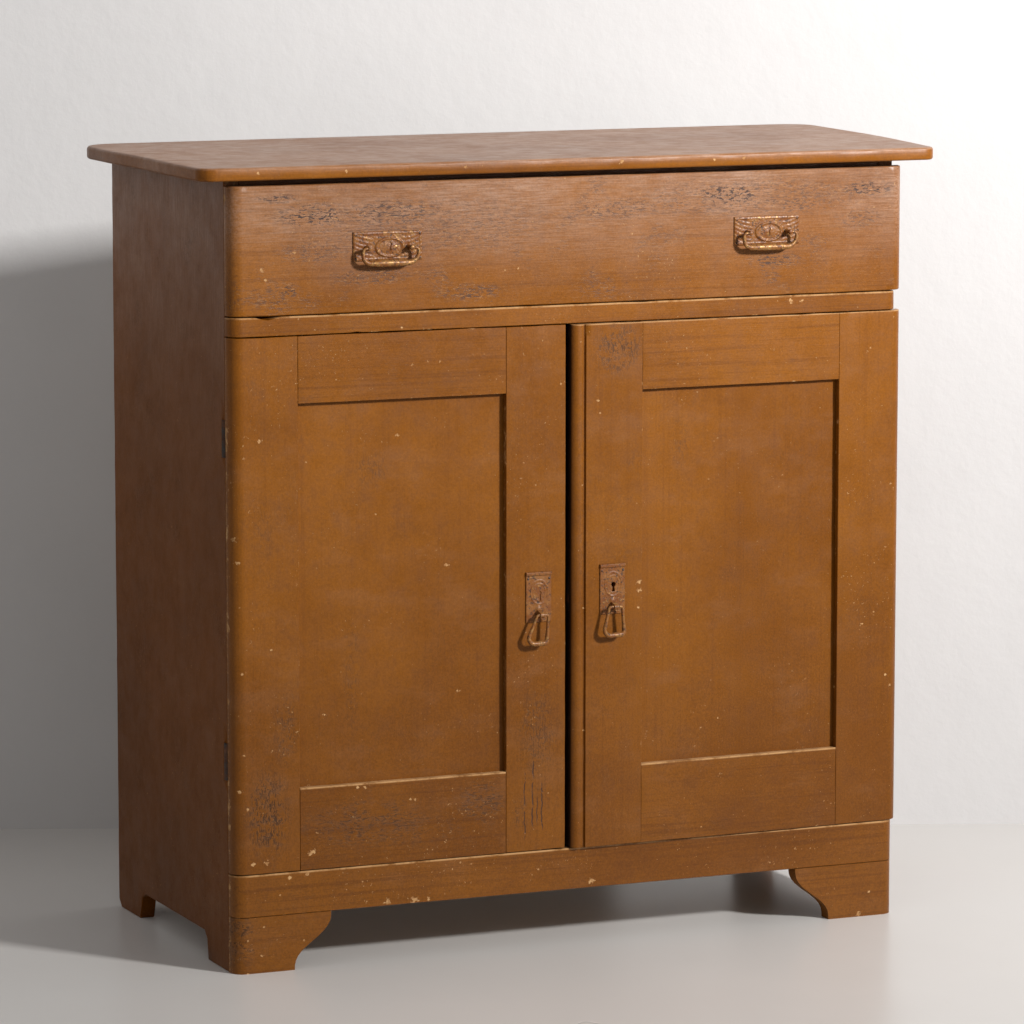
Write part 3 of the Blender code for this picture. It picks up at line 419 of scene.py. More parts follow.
def worn_board(node, mat, body, pitch=0.009, wear=0.0006, dents=(), seed=0.0, turned=False,
               shave=()):
    """A board with the CAD board's shape whose arrises are worn unevenly inwards. dents are
    (x, z, half width, depth, which) hollows worn into the bottom or top edge: which is -1 or 1.
    shave is ((side, depth), ...): z or Z, the bottom or top edge planed off unevenly."""
    src = NODES[node].data
    bm = bmesh.new()
    bm.from_mesh(src)
    bmesh.ops.remove_doubles(bm, verts=bm.verts, dist=1e-5)
    bmesh.ops.dissolve_limit(bm, angle_limit=math.radians(0.6), verts=bm.verts, edges=bm.edges)
    if turned:
        bmesh.ops.transform(bm, matrix=AJAR_TURN.inverted(), verts=bm.verts)
    lo = Vector([min(v.co[i] for v in bm.verts) for i in range(3)])
    hi = Vector([max(v.co[i] for v in bm.verts) for i in range(3)])
    size = hi - lo
    for i in range(3):
        if size[i] < 0.035:
            continue
        count = int(size[i] / pitch)
        axis = Vector((i == 0, i == 1, i == 2))
        for k in range(1, count):
            at = lo + axis * (size[i] * k / count)
            # every cut on the long arrises; only a coarse one across the broad faces
            bmesh.ops.bisect_plane(bm, geom=bm.verts[:] + bm.edges[:] + bm.faces[:], dist=1e-6,
                                   plane_co=at, plane_no=axis)
    bm.normal_update()
    move = {}
    for e in bm.edges:
        if len(e.link_faces) != 2:
            continue
        a, b = e.link_faces
        if a.normal.angle(b.normal, 0.0) < math.radians(22) or not e.is_convex:
            continue
        for v in e.verts:
            move.setdefault(v, Vector()).__iadd__(a.normal + b.normal)
    shift = {}
    for v, nrm in move.items():
        if nrm.length < 1e-6:
            continue
        nrm = nrm.normalized()
        p = v.co + Vector((seed, seed * 2, 0))
        d = wear * max(0.0, fbm(p, 26.0) + 0.18) + wear * 2.6 * max(0.0, fbm(p, 9.0) - 0.34)
        shift[v] = -nrm * d
    for v, s in shift.items():
        v.co += s
    for (x, z, w, depth, side) in dents:
        for v in bm.verts:
            t = abs(v.co.x - (x + X0)) / w
            if t < 1.0 and abs(v.co.z - z) < 0.006 and v.co.y < Y0 + 0.012:
                v.co.z -= side * depth * (1 - t * t) * (0.75 + 0.5 * noise.noise(v.co * 160.0))
    for side, depth in shave:
        for v in bm.verts:
            near = v.co.z - lo.z if side == "z" else hi.z - v.co.z
            if near < 0.0022:
                v.co.z += (1 if side == "z" else -1) * depth * (0.8 + 0.5 * noise.noise(Vector((v.co.x * 23, seed, v.co.z))))
    if turned:
        bmesh.ops.transform(bm, matrix=AJAR_TURN, verts=bm.verts)
    ob = link(node + "_worn", bm, mat, body, smooth=28)
    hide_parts(node)
    return ob


def nodebox(node):
    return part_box(node)


# ================================================================== carcass
SEEDS = {}


def seed_of(name):
    return 1.37 * (sum(ord(ch) for ch in name) % 47)


def painted(node, body, along, slot="front_paint", turned=False, wear_mm=0.6, dents=(), pitch=0.009, shave=(), **k):
    mat = paint("mat_" + node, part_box(node), along, seed=seed_of(node), **k)
    return worn_board(node, mat, body, wear=wear_mm / 1000.0, dents=dents, turned=turned,
                      seed=seed_of(node), pitch=pitch, shave=shave)


painted("middle_rail", "carcass", "X", edges="zZ", wear=0.45, craze=0.25, arris="Z",
        dents=((0.052, 0.8873, 0.017, 0.0042, 1), (0.600, 0.8873, 0.02, 0.0010, 1), (0.180, 0.8616, 0.010, 0.0012, -1)),
        chips=((0.825, 0.8800, 0.0050), (0.842, 0.8790, 0.0035), (0.120, 0.868, 0.0020), (0.245, 0.866, 0.0022)))
painted("plinth_rail", "carcass", "X", edges="xXzZ", wear=0.45, craze=0.25, wear_mm=0.4, arris="Z",
        chips=((0.525, 0.086, 0.0055), (0.222, 0.083, 0.0050), (0.262, 0.082, 0.0065), (0.282, 0.081, 0.0035),
               (0.080, 0.128, 0.0035), (0.105, 0.130, 0.0035), (0.066, 0.105, 0.0020), (0.020, 0.104, 0.0018),
               (0.330, 0.128, 0.0022), (0.445, 0.109, 0.0020), (0.700, 0.094, 0.0022)))
painted("front_foot_left", "carcass", "X", edges="xXz", wear=0.50, craze=0.35, wear_mm=0.5,
        crazed=((0.010, 0.050, 0.03, 0.05, 0.9),),
        chips=((0.040, 0.024, 0.0028), (0.020, 0.046, 0.0018), (0.043, 0.063, 0.0022), (0.100, 0.040, 0.0020)))
painted("front_foot_right", "carcass", "X", edges="xXz", wear=0.45, craze=0.25, wear_mm=0.5,
        chips=((0.940, 0.004, 0.004), (0.955, 0.034, 0.0022)))
# the side panels: a slightly darker copy of the front paint, with pale patches kept to their upper part that are partly
# scuffed paint and partly a painted reflection
SIDE = (0.150, 0.0440, 0.0020)
painted("side_panel_left", "carcass", "Z", slot="side_paint", edges="yz", wear=0.30, craze=0.55,
        pitch=0.016, base=SIDE, specular=0.10, pale=0.30, pale_band=(0.55, 1.07))
painted("side_panel_right", "carcass", "Z", slot="side_paint", edges="yz", wear=0.30, craze=0.45,
        pitch=0.016, base=SIDE, specular=0.10, pale=0.30, pale_band=(0.55, 1.07))
# the rail in the gap under the top's overhang gets the dark paint as its base: painted shade under the overhang
NODES["top_rail"].data.materials[0] = paint("mat_top_rail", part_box("top_rail"), "X", edges="", seed=3.0,
                                            base=PAINT_DARK_AND_SHADE)


def top_material():
    """The top's paint: rubbed thin, with worn arrises; its upper face is greyed by pale patches that are partly rubbed
    paint and partly painted sheen.
    """
    return paint("mat_top_board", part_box("top_board"), "X", edges="", wear=0.35, craze=0.15,
                 pale=0.50, pale_band=(1.0835, 1.0868), seed=11.0, rough=0.40,
                 chips=((0.035, 1.0805, 0.0035), (0.330, 1.0800, 0.0030), (0.560, 1.0805, 0.0045),
                        (0.700, 1.0800, 0.0030), (0.745, 1.0805, 0.0035), (0.160, 1.0790, 0.0022)))


worn_board("top_board", top_material(), "carcass", wear=0.0007, pitch=0.011, seed=4.0)

for i, (node, along) in enumerate((
        ("back_board_left", "Z"), ("back_board_middle", "Z"), ("back_board_right", "Z"),
        ("cupboard_floor", "X"), ("shelf", "X"), ("shelf_cleat_left", "Y"), ("shelf_cleat_right", "Y"),
        ("drawer_runner_left", "Y"), ("drawer_runner_right", "Y"), ("glue_block_left", "Z"),
        ("glue_block_right", "Z"), ("drawer_side_left", "Y"), ("drawer_side_right", "Y"),
        ("drawer_back", "X"), ("drawer_bottom", "Y"))):
    NODES[node].data.materials[0] = bare_wood("mat_" + node, along, 2.1 * i, 0.85 + 0.05 * (i % 4))
for i, node in enumerate(n for n in NODES if "hinge_l" in n or "hinge_r" in n or "bolt" in n or n == "lock_case"):
    if "stile" in node:
        continue
    NODES[node].data.materials[0] = iron("mat_" + node, 1.3 * i)

# ================================================================== drawer front
# pale patches on the drawer's upper part: scuffed paint and a painted sheen
painted("drawer_front", "drawer", "X", edges="xXzZ", wear=0.30, craze=0.85, pale=0.42, pale_band=(0.900, 1.050),
        shave=(("z", 0.0012),), wear_mm=0.7,
        crazed=((0.121, 1.021, 0.075, 0.020, 1.0), (0.084, 0.921, 0.020, 0.012, 0.9), (0.070, 1.044, 0.040, 0.008, 0.8),
                (0.943, 1.032, 0.050, 0.014, 1.0), (0.730, 1.030, 0.075, 0.020, 1.0), (0.373, 0.979, 0.012, 0.010, 0.6),
                (0.230, 1.020, 0.110, 0.024, 0.8), (0.200, 0.936, 0.075, 0.014, 0.7), (0.344, 0.910, 0.060, 0.014, 0.8),
                (0.120, 0.972, 0.070, 0.022, 0.5), (0.800, 0.937, 0.055, 0.014, 0.8), (0.835, 1.015, 0.055, 0.020, 0.6),
                (0.560, 1.015, 0.110, 0.020, 0.55), (0.930, 0.990, 0.05, 0.02, 0.5), (0.280, 1.000, 0.240, 0.055, 0.42),
                (0.760, 1.025, 0.230, 0.036, 0.50)),
        chips=((0.045, 0.950, 0.0035), (0.052, 0.937, 0.0030), (0.330, 0.985, 0.0030), (0.395, 0.938, 0.0024),
               (0.415, 0.940, 0.0020), (0.640, 0.936, 0.0018), (0.092, 0.972, 0.0026)))

# ================================================================== left door
TOP_GAP = (("Z", 0.0011), ("z", 0.0007))
painted("left_door_hinge_stile", "door_left", "Z", edges="xXzZ", wear=0.40, craze=0.35, shave=TOP_GAP,
        crazed=((0.050, 0.215, 0.040, 0.075, 1.0), (0.075, 0.330, 0.022, 0.060, 0.6), (0.045, 0.600, 0.020, 0.05, 0.3)),
        chips=((0.028, 0.150, 0.0042), (0.046, 0.151, 0.0046), (0.006, 0.592, 0.0040), (0.009, 0.560, 0.0032),
               (0.018, 0.700, 0.0026), (0.040, 0.722, 0.0030), (0.012, 0.500, 0.0026), (0.014, 0.410, 0.0022),
               (0.016, 0.300, 0.0024), (0.010, 0.250, 0.0035), (0.020, 0.226, 0.0026), (0.055, 0.440, 0.0018)))
painted("left_door_meeting_stile", "door_left", "Z", grime="X", edges="xXzZ", wear=0.30, craze=0.35, shave=TOP_GAP,
        crazed=((0.443, 0.300, 0.038, 0.080, 0.55), (0.420, 0.190, 0.020, 0.030, 0.5)),
        cracks=((0.424, 0.150, 0.250, 0.0011), (0.436, 0.165, 0.265, 0.0014), (0.450, 0.160, 0.235, 0.0013), (0.443, 0.170, 0.215, 0.0009)),
        chips=((0.478, 0.780, 0.0022), (0.460, 0.215, 0.0020)))
painted("left_door_top_rail", "door_left", "X", edges="Zz", wear=0.35, craze=0.25, shave=(("Z", 0.0011),),
        chips=((0.260, 0.815, 0.0022), (0.150, 0.800, 0.0018), (0.300, 0.818, 0.0018)))
painted("left_door_bottom_rail", "door_left", "X", edges="Zzx", wear=0.45, craze=0.45, shave=(("z", 0.0007),), arris="Z",
        crazed=((0.190, 0.195, 0.120, 0.040, 0.75), (0.360, 0.210, 0.045, 0.040, 0.75), (0.250, 0.180, 0.110, 0.030, 0.5)),
        chips=((0.112, 0.160, 0.0055), (0.255, 0.222, 0.0026), (0.262, 0.221, 0.0022), (0.180, 0.244, 0.0045),
               (0.190, 0.243, 0.0030), (0.120, 0.186, 0.0022)))
painted("left_door_panel", "door_left", "Z", edges="", wear=0.22, craze=0.22, pitch=0.030,
        crazed=((0.205, 0.675, 0.030, 0.030, 0.45), (0.175, 0.400, 0.018, 0.110, 0.35)),
        chips=((0.242, 0.720, 0.0030), (0.210, 0.614, 0.0018), (0.314, 0.539, 0.0040), (0.135, 0.345, 0.0030),
               (0.330, 0.365, 0.0030), (0.200, 0.470, 0.0016), (0.110, 0.690, 0.0016)))

# ================================================================== right door
painted("right_door_lock_stile", "door_right", "Z", grime="x", edges="xXZz", wear=0.28, craze=0.35, turned=True, shave=TOP_GAP, arris="Z",
        crazed=((0.560, 0.825, 0.045, 0.045, 0.80), (0.505, 0.600, 0.014, 0.2, 0.25)),
        chips=((0.5925, 0.5010, 0.0046), (0.5930, 0.4900, 0.0042), (0.5915, 0.4660, 0.0026), (0.530, 0.755, 0.0026), (0.533, 0.738, 0.0022), (0.600, 0.432, 0.0030), (0.600, 0.480, 0.0040),
               (0.510, 0.300, 0.0020), (0.508, 0.640, 0.0020), (0.509, 0.470, 0.0018)))
painted("right_door_top_rail", "door_right", "X", edges="Zz", wear=0.35, craze=0.30, turned=True, shave=(("Z", 0.0011),), arris="Z")
painted("right_door_bottom_rail", "door_right", "X", edges="Zz", wear=0.35, craze=0.30, turned=True, shave=(("z", 0.0007),), arris="Z",
        chips=((0.690, 0.150, 0.0018), (0.860, 0.160, 0.0020)))
painted("right_door_hinge_stile", "door_right", "Z", edges="xXzZ", wear=0.38, craze=0.25, turned=True, shave=TOP_GAP, arris="Z",
        chips=((0.985, 0.330, 0.0028), (0.978, 0.345, 0.0022), (0.940, 0.420, 0.0020)))
painted("right_door_panel", "door_right", "Z", edges="", wear=0.2, craze=0.20, pitch=0.030, turned=True,
        crazed=((0.660, 0.690, 0.020, 0.05, 0.30),),
        chips=((0.720, 0.300, 0.0018), (0.790, 0.520, 0.0014)))


# ================================================================== fittings
def smooth_step(a, b, v):
    t = min(1.0, max(0.0, (v - a) / (b - a)))
    return t * t * (3 - 2 * t)


def in_keyhole(dx, dz, r=0.0033, slot=0.0015, length=0.0100):
    """Positive inside a keyhole whose head is at (0, 0)."""
    head = r - math.hypot(dx, dz)
    w = slot + 0.0005 * smooth_step(-0.004, -length, dz)
    leg = min(w - abs(dx), -dz, dz + length)
    return max(head, leg)


def plate(name, xc, zc, w, h, thick, relief, body, mat, replaces, turned=False, nx=150, nz=66, open_key=None):
    """A pressed plate: a grid whose front follows relief(u, v), closed behind. u and v run from
    the plate's middle, in metres; relief gives how far the front stands out of the door."""
    bm = bmesh.new()
    back, front = [], []
    for j in range(nz + 1):
        rb, rf = [], []
        for i in range(nx + 1):
            u = (i / nx - 0.5) * w
            v = (j / nz - 0.5) * h
            # a slightly uneven outline with clipped corners
            k = min(0.0016, 0.0011 * (1 + 0.5 * noise.noise(Vector((u * 90, v * 90, xc)))))
            du = w / 2 - abs(u)
            dv = h / 2 - abs(v)
            x, z = xc + X0 + u, zc + v
            rf.append(bm.verts.new((x, Y0 - 0.0003 - relief(u, v, du, dv), z)))
            rb.append(bm.verts.new((x, Y0 - 0.0003, z)))
        front.append(rf)
        back.append(rb)
    gone = set()
    if open_key is not None:
        ku, kv = open_key
        for j in range(nz):
            for i in range(nx):
                u = ((i + 0.5) / nx - 0.5) * w
                v = ((j + 0.5) / nz - 0.5) * h
                if in_keyhole(u - ku, v - kv, 0.0034, 0.0017) > 0:
                    gone.add((i, j))
    for j in range(nz):
        for i in range(nx):
            if (i, j) in gone:
                continue
            bm.faces.new((front[j][i], front[j][i + 1], front[j + 1][i + 1], front[j + 1][i]))
            bm.faces.new((back[j][i], back[j + 1][i], back[j + 1][i + 1], back[j][i + 1]))
            for (di, dj, a, b) in ((0, -1, (i, j), (i + 1, j)), (0, 1, (i + 1, j + 1), (i, j + 1)),
                                   (-1, 0, (i, j + 1), (i, j)), (1, 0, (i + 1, j), (i + 1, j + 1))):
                ni, nj = i + di, j + dj
                if ni < 0 or nj < 0 or ni >= nx or nj >= nz or (ni, nj) in gone:
                    bm.faces.new((back[a[1]][a[0]], back[b[1]][b[0]], front[b[1]][b[0]], front[a[1]][a[0]]))
    loose = [v for v in bm.verts if not v.link_faces]
    bmesh.ops.delete(bm, geom=loose, context="VERTS")
    if turned:
        bmesh.ops.transform(bm, matrix=AJAR_TURN, verts=bm.verts)
    ob = link(name, bm, mat, body, smooth=50)
    return ob


def drawer_relief(seed):
    def relief(u, v, du, dv):
        t = 0.0006 + 0.0011 * smooth_step(0.0, 0.0009, min(du, dv))
        # pressed border and hammered ground
        t += 0.0004 * (smooth_step(0.0016, 0.0024, min(du, dv)) - smooth_step(0.0032, 0.0042, min(du, dv)))
        t += 0.00034 * fbm(Vector((u * 1.0 + seed, v, 0)), 330.0, 2) * smooth_step(0.001, 0.003, min(du, dv))
        # flowing ribs that sweep away from the boss
        sweep = math.sin(1100 * (v + 0.35 * abs(u) - 9 * u * u)) * smooth_step(0.016, 0.030, abs(u))
        t += 0.00016 * sweep
        # oval boss with a rolled rim
        e = math.hypot((u - 0.0030) / 0.0205, (v + 0.0020) / 0.0132)
        t += 0.0016 * (smooth_step(1.10, 0.96, e)) - 0.0010 * smooth_step(0.90, 0.76, e)
        t += 0.0010 * smooth_step(0.80, 0.0, e)
        # blind keyhole
        t -= 0.0014 * smooth_step(-0.0002, 0.0003, in_keyhole(u - 0.0030, v - 0.0022, 0.0022, 0.0010, 0.0085))
        return max(0.0005, t)
    return relief


def door_relief(seed, key=None):
    def relief(u, v, du, dv):
        t = 0.0006 + 0.0011 * smooth_step(0.0, 0.0008, min(du, dv))
        # raised lip along the top
        top = 0.035 - v
        t += 0.0015 * smooth_step(0.0060, 0.0044, top) * smooth_step(0.0002, 0.0012, top)
        # a raised oval rib round the keyhole, hammered ground
        e = math.hypot((u - 0.0010) / 0.0125, (v - 0.0065) / 0.0165)
        t += 0.0005 * math.exp(-((e - 1.0) / 0.09) ** 2) + 0.0003 * math.exp(-((e - 0.72) / 0.07) ** 2)
        t += 0.00026 * fbm(Vector((u + seed, v, 1.0)), 330.0, 2) * smooth_step(0.001, 0.003, min(du, dv))
        # boss above the lug
        e = math.hypot(u / 0.0062, (v + 0.0175) / 0.0080)
        t += 0.0016 * smooth_step(1.0, 0.25, e)
        if key is not None:
            t -= 0.0014 * smooth_step(-0.0002, 0.0003, in_keyhole(u - key[0], v - key[1], 0.0021, 0.0011, 0.0105))
        return max(0.0005, t)
    return relief


def tube(bm, path, radii, sides=18, closed=False):
    """Round bar through 3-D points."""
    n = len(path)
    rings = []
    for i, p in enumerate(path):
        a = path[(i - 1) % n] if closed or i else path[i]
        b = path[(i + 1) % n] if closed or i < n - 1 else path[i]
        t = (b - a).normalized()
        u = Vector((0.0, 1.0, 0.0))
        u = (u - t * u.dot(t)).normalized()
        v = t.cross(u)
        rings.append([bm.verts.new(p + (u * math.cos(2 * math.pi * k / sides)
                                        + v * math.sin(2 * math.pi * k / sides)) * radii[i]) for k in range(sides)])
    for i in range(n if closed else n - 1):
        q, w = rings[i], rings[(i + 1) % n]
        for k in range(sides):
            bm.faces.new((q[k], q[(k + 1) % sides], w[(k + 1) % sides], w[k]))
    if not closed:
        bm.faces.new(rings[0])
        bm.faces.new(list(reversed(rings[-1])))


def rounded(pts, radii, steps=10, closed=True):
    out = []
    n = len(pts)
    for i, p in enumerate(pts):
        r = radii[i]
        if r <= 0 or (not closed and i in (0, n - 1)):
            out.append(Vector(p))
            continue
        p = Vector(p)
        a = (Vector(pts[i - 1]) - p).normalized()
        b = (Vector(pts[(i + 1) % n]) - p).normalized()
        half = a.angle(b) / 2
        run = r / math.tan(half)
        mid = (a + b).normalized() * (r / math.sin(half)) + p
        s, e = p + a * run - mid, p + b * run - mid
        turn = s.angle(e) * (1.0 if s.x * e.y - s.y * e.x > 0 else -1.0)
        for k in range(steps + 1):
            t = turn * k / steps
            out.append(Vector((mid.x + s.x * math.cos(t) - s.y * math.sin(t),
                               mid.y + s.x * math.sin(t) + s.y * math.cos(t))))
    return out


def spread(pts, gap, closed):
    """Even points along a polyline."""
    ring = pts + [pts[0]] if closed else pts
    out = [ring[0]]
    left = gap
    for a, b in zip(ring, ring[1:]):
        seg = (b - a).length
        at = left
        while at < seg:
            out.append(a + (b - a) * (at / seg))
            at += gap
        left = at - seg
    if not closed:
        out.append(ring[-1])
    return out


def nail(name, x, y, z, r, body, turned=False, mat=None):
    """A small domed, slightly battered nail head."""
    bm = bmesh.new()
    rings = []
    for j, (f, h) in enumerate(((1.0, 0.0), (1.0, 0.35), (0.86, 0.72), (0.5, 0.95))):
        ring = []
        for i in range(14):
            a = 2 * math.pi * i / 14
            k = 1 + 0.10 * noise.noise(Vector((math.cos(a), math.sin(a), x * 50 + z * 31)))
            ring.append(bm.verts.new((x + X0 + r * f * k * math.cos(a), y + Y0 - 0.0008 * h, z + r * f * k * math.sin(a))))
        rings.append(ring)
    for q, w in zip(rings, rings[1:]):
        for i in range(14):
            bm.faces.new((q[i], q[(i + 1) % 14], w[(i + 1) % 14], w[i]))
    bm.faces.new(rings[0])
    bm.faces.new(rings[-1])
    if turned:
        bmesh.ops.transform(bm, matrix=AJAR_TURN, verts=bm.verts)
    return link(name, bm, mat, body, smooth=40)


NAIL = iron("mat_nails", 7.0, 0.3)

# ---- drawer pulls
for word, xc, zc in (("left", 0.2242, 0.9767), ("right", 0.7866, 0.9790)):
    mat = handle("mat_drawer_plate_" + word, 0.25, 3.0 * xc)
    ob = plate("drawer_plate_%s_pressed" % word, xc, zc, 0.0996, 0.0395, 0.0017, drawer_relief(xc),
               "drawer", mat, None, nx=200, nz=80)
    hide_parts("drawer_plate_" + word)
    zp, yb = zc - 0.0022, -0.0135
    for s, side in ((-1.0, "outer" if word == "left" else "inner"), (1.0, "inner" if word == "left" else "outer")):
        # turned post with a collar and a rounded eye that the bail enters
        prof = ((0.0036, -0.0016), (0.0040, -0.0030), (0.0033, -0.0042), (0.0027, -0.0060), (0.0025, -0.0090),
                (0.0029, -0.0108), (0.0033, -0.0125), (0.0034, -0.0142), (0.0028, -0.0158), (0.0014, -0.0165))
        bm = bmesh.new()
        rings = [[bm.verts.new((xc + s * 0.0303 + X0 + r * math.cos(2 * math.pi * i / 20), Y0 + y,
                                zp + r * math.sin(2 * math.pi * i / 20))) for i in range(20)] for r, y in prof]
        for q, w in zip(rings, rings[1:]):
            for i in range(20):
                bm.faces.new((q[i], q[(i + 1) % 20], w[(i + 1) % 20], w[i]))
        bm.faces.new(rings[0])
        bm.faces.new(rings[-1])
        link("drawer_post_%s_%s" % (word, side), bm, handle("mat_post_%s_%s" % (word, side), 0.35, 2 * xc + s),
             "drawer", smooth=40)
    h, d = 0.0400, 0.0200
    path = rounded([(xc - 0.0285, zp), (xc - h, zp), (xc - h, zp - d), (xc + h, zp - d), (xc + h, zp), (xc + 0.0285, zp)],
                   [0.0, 0.0050, 0.0110, 0.0145, 0.0050, 0.0], 12, closed=False)
    path = spread(path, 0.0016, False)
    rad = []
    for p in path:
        low = min(1.0, max(0.0, (zp - p.y) / d))
        mid = max(0.0, 1.0 - abs(p.x - xc) / h)
        hammered = 0.00012 * noise.noise(Vector((p.x * 260, p.y * 260, xc)))
        rad.append(0.0016 + 0.0008 * low + 0.0013 * smooth_step(0.0, 0.75, mid) * low * (1 if low > 0.5 else low) - 0.00012 + hammered)
    bm = bmesh.new()
    rad = [1.35 * r for r in rad]
    tube(bm, [Vector((p.x + X0, yb + Y0, p.y)) for p in path], rad)
    ob = link("drawer_bail_%s_cast" % word, bm, handle("mat_drawer_bail_" + word, 0.75, 5 * xc), "bail_" + word,
              smooth=60)
    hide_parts("drawer_bail_" + word)
    for k, (du, dv) in enumerate(((-0.0460, 0.0155), (0.0460, 0.0160), (-0.0462, -0.0160), (0.0460, -0.0162))):
        nail("drawer_nail_%s_%d" % (word, k + 1), xc + du, -0.0019, zc + dv, 0.0019 if k < 2 else 0.0015, "drawer", mat=NAIL)

# ---- door pulls
for word, x0, z0, body, turned in (("left", 0.4254, 0.4535, "door_left", False), ("right", 0.5320, 0.4595, "door_right", True)):
    xc, zc = x0 + 0.01905, z0 + 0.035
    zp = z0 + 0.0115
    through = word == "right"
    mat = handle("mat_door_plate_" + word, 0.12, 9.0 * xc)
    ku = 0.0205 - 0.01905 if through else 0.0018
    kv = (0.4962 + 0.0045 - zc) if through else (0.4895 + 0.0045 - zc)
    ob = plate("%s_door_plate_pressed" % word, xc, zc, 0.0381, 0.0700, 0.0017,
               door_relief(xc, None if through else (ku, kv)), body, mat, None, turned=turned, nx=110, nz=200,
               open_key=(ku, kv) if through else None)
    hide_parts("%s_door_plate" % word)
    # the lug: a curled tongue that the pull hangs in
    bm = bmesh.new()
    side_pts = [(-0.0014, 0.0060), (-0.0060, 0.0052), (-0.0105, 0.0042), (-0.0145, 0.0034), (-0.0166, 0.0012),
                (-0.0166, -0.0014), (-0.0148, -0.0034), (-0.0120, -0.0040), (-0.0070, -0.0042), (-0.0014, -0.0050)]
    hw = 0.0034
    rows = []
    for f, wv in ((-1.0, 0.72), (-0.82, 1.0), (0.82, 1.0), (1.0, 0.72)):
        cy = sum(p[0] for p in side_pts) / len(side_pts)
        rows.append([bm.verts.new((xc + X0 + f * hw, Y0 + (cy + (y - cy) * (0.5 + 0.5 * wv)), zp + z * wv)) for y, z in side_pts])
    for q, w in zip(rows, rows[1:]):
        for i in range(len(side_pts)):
            j = (i + 1) % len(side_pts)
            bm.faces.new((q[i], q[j], w[j], w[i]))
    bm.faces.new(rows[0])
    bm.faces.new(rows[-1])
    if turned:
        bmesh.ops.transform(bm, matrix=AJAR_TURN, verts=bm.verts)
    link("%s_door_lug" % word, bm, handle("mat_lug_" + word, 0.45, 4 * xc), body, smooth=45)
    i = 1 if through else 0
    top, low = xc + (0.0016, 0.0)[i], xc + (-0.0082, -0.0031)[i]
    th, bh = (0.0080, 0.0097)[i], (0.0158, 0.0160)[i]
    ring = rounded([(top - th, zp), (top + th, zp), (low + bh, zp - 0.0385), (low - bh, zp - 0.0400)],
                   [0.0035, 0.0035, 0.0050, 0.0085], 10)
    ring = spread(ring, 0.0014, True)
    rad = [0.0015 + 0.0011 * min(1.0, max(0.0, (zp - p.y) / 0.0395)) ** 2 - 0.0001
           + 0.0001 * noise.noise(Vector((p.x * 300, p.y * 300, xc))) for p in ring]
    bm = bmesh.new()
    rad = [1.40 * r for r in rad]
    tube(bm, [Vector((p.x + X0, -0.0130 + Y0, p.y)) for p in ring], rad, closed=True)
    if turned:
        bmesh.ops.transform(bm, matrix=AJAR_TURN, verts=bm.verts)
    ob = link("%s_door_pull_cast" % word, bm, handle("mat_door_pull_" + word, 0.55, 6 * xc), "pull_" + word,
              smooth=60)
    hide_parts("%s_door_pull" % word)
    for k, s in enumerate((-1.0, 1.0)):
        nail("door_nail_%s_%d" % (word, k + 1), xc + s * 0.0158, -0.0019, zc + 0.0255, 0.0017, body, turned=turned, mat=NAIL)

# ================================================================== stage
bm = bmesh.new()
WALL_A = Vector((0.10 + X0, 1.035 + Y0, 0.0))
WALL_B = Vector((1.38 + X0, 0.530 + Y0, 0.0))
run = (WALL_B - WALL_A).normalized()
ends = (WALL_A - run * 7.0, WALL_A + run * 7.0)
out = Vector((run.y, -run.x, 0.0)) * 9.0
for co in (ends[0] - out, ends[1] - out, ends[1] + out, ends[0] + out):
    bm.verts.new(co)
bm.faces.new(bm.verts)
me = bpy.data.meshes.new("floor")
bm.to_mesh(me)
bm.free()
floor = bpy.data.objects.new("floor", me)
bpy.context.scene.collection.objects.link(floor)
n = Net("mat_floor")
me.materials.append(n.finish(n.mix(n.step(n.noise((2, 2, 2), (0, 0, 0), 4.0), 0.3, 0.7), (0.595, 0.580, 0.560), (0.620, 0.605, 0.585)),
                             n.step(n.noise((3, 3, 3)), 0.2, 0.8, 0.27, 0.31), specular=0.5))
floor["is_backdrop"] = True

bm = bmesh.new()
high = Vector((0.0, 0.0, 5.0))
for co in (ends[0], ends[1], ends[1] + high, ends[0] + high):
    bm.verts.new(co)
bm.faces.new(bm.verts)
me = bpy.data.meshes.new("backdrop")
bm.to_mesh(me)
bm.free()
wall = bpy.data.objects.new("backdrop", me)
bpy.context.scene.collection.objects.link(wall)
n = Net("mat_backdrop")
pale = n.mix(n.step(n.noise((3, 3, 3), (1, 0, 0), 5.0), 0.3, 0.7), (0.572, 0.566, 0.566), (0.594, 0.588, 0.588))
# painted shade: the backdrop is darkened towards the right and the top, standing in for the lamp's falloff
n.finish(n.shade(pale, n.mul(n.step(n.x, 0.1, 1.3, 1.0, 0.93), n.step(n.z, 0.7, 1.5, 1.0, 0.93))),
         n.step(n.noise((9, 9, 9), (0, 0, 0), 3.0, 0.6), 0.3, 0.7, 0.80, 0.90),
         n.bump(n.noise((26, 26, 26), (0, 0, 0), 5.0, 0.6), 0.12, 0.01), specular=0.2)
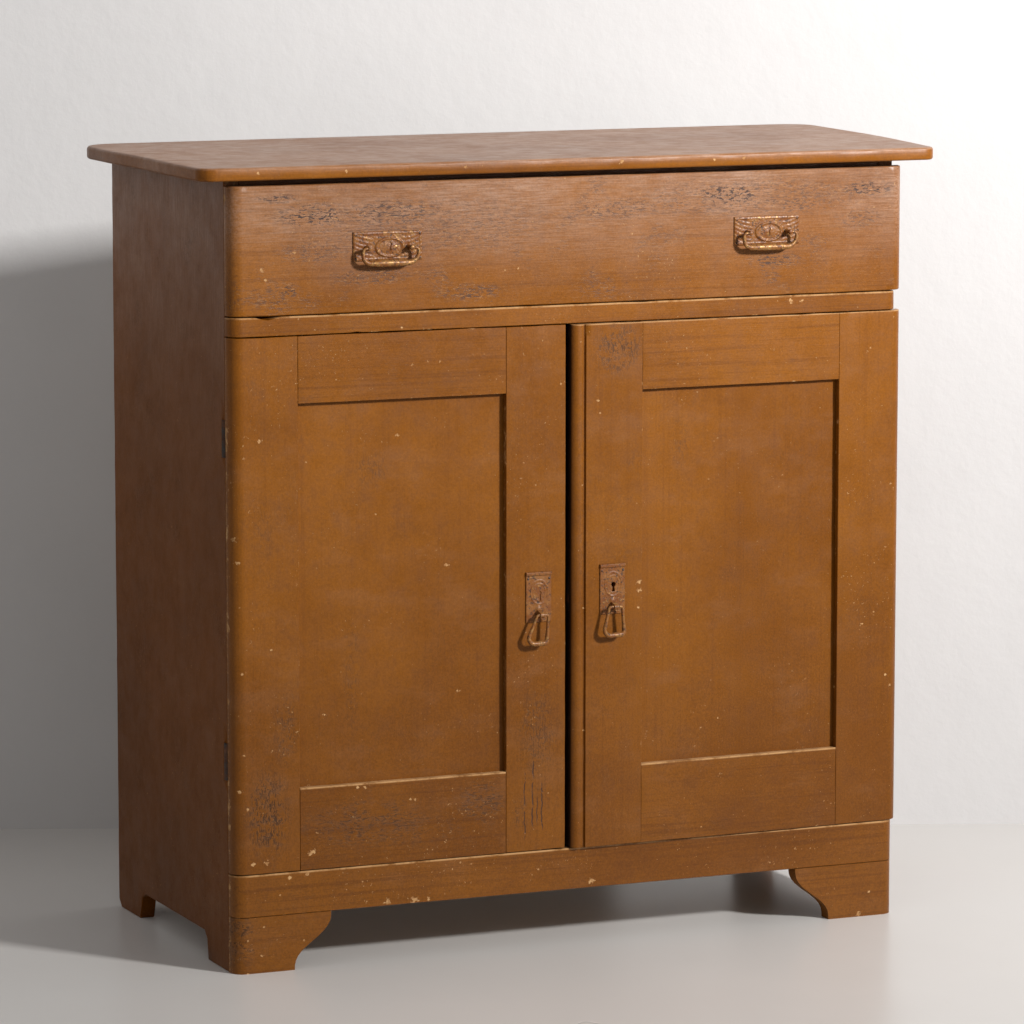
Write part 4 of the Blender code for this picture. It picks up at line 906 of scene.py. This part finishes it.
# the backdrop has one side only, so that it doesn't hide the cabinet's back
side = n.t.nodes.new("ShaderNodeNewGeometry")
clear = n.t.nodes.new("ShaderNodeBsdfTransparent")
either = n.t.nodes.new("ShaderNodeMixShader")
n.t.links.new(side.outputs["Backfacing"], either.inputs[0])
n.t.links.new(n.bsdf.outputs[0], either.inputs[1])
n.t.links.new(clear.outputs[0], either.inputs[2])
n.t.links.new(either.outputs[0], n.out.inputs[0])
me.materials.append(n.mat)
wall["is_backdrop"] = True


def area_light(name, place, aim, size, power, colour=(1, 1, 1)):
    data = bpy.data.lights.new(name, "AREA")
    data.shape = "RECTANGLE"
    data.size, data.size_y = size
    data.energy = power
    data.color = colour
    ob = bpy.data.objects.new(name, data)
    bpy.context.scene.collection.objects.link(ob)
    ob.location = place
    ob.rotation_euler = (Vector(aim) - Vector(place)).to_track_quat("-Z", "Y").to_euler()
    return ob


key = area_light("key", (2.60 + X0, -3.35 + Y0, 2.50), (1.44 + X0, 0.23 + Y0, 2.30), (0.50, 0.50), 157, (1.0, 0.985, 0.97))
key.data.spread = math.radians(108)

world = bpy.data.worlds.new("studio")
bpy.context.scene.world = world
world.use_nodes = True
world.node_tree.nodes["Background"].inputs[0].default_value = (1.0, 0.975, 0.960, 1.0)
world.node_tree.nodes["Background"].inputs[1].default_value = 0.45

# ================================================================== camera
YAW, PITCH, ROLL = math.radians(23.17194), math.radians(7.96817), math.radians(0.02291)
forward = Vector((math.sin(YAW) * math.cos(PITCH), math.cos(YAW) * math.cos(PITCH), -math.sin(PITCH)))
right = Vector((math.cos(YAW), -math.sin(YAW), 0.0))
up = right.cross(forward)
right, up = (right * math.cos(ROLL) + up * math.sin(ROLL), -right * math.sin(ROLL) + up * math.cos(ROLL))
data = bpy.data.cameras.new("camera")
data.sensor_fit = "HORIZONTAL"
data.sensor_width = 36.0
data.lens = 5153.97 * 36.0 / 1024.0
data.clip_start, data.clip_end = 0.1, 60.0
camera = bpy.data.objects.new("camera", data)
bpy.context.scene.collection.objects.link(camera)
m = Matrix((right, up, -forward)).transposed().to_4x4()
m.translation = Vector((-2.32467 + X0, -6.37865 + Y0, 1.57876))
camera.matrix_world = m
bpy.context.scene.camera = camera
bpy.context.scene.view_settings.view_transform = "Standard"
bpy.context.scene.view_settings.look = "None"

# ================================================================== sizes
low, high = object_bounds()
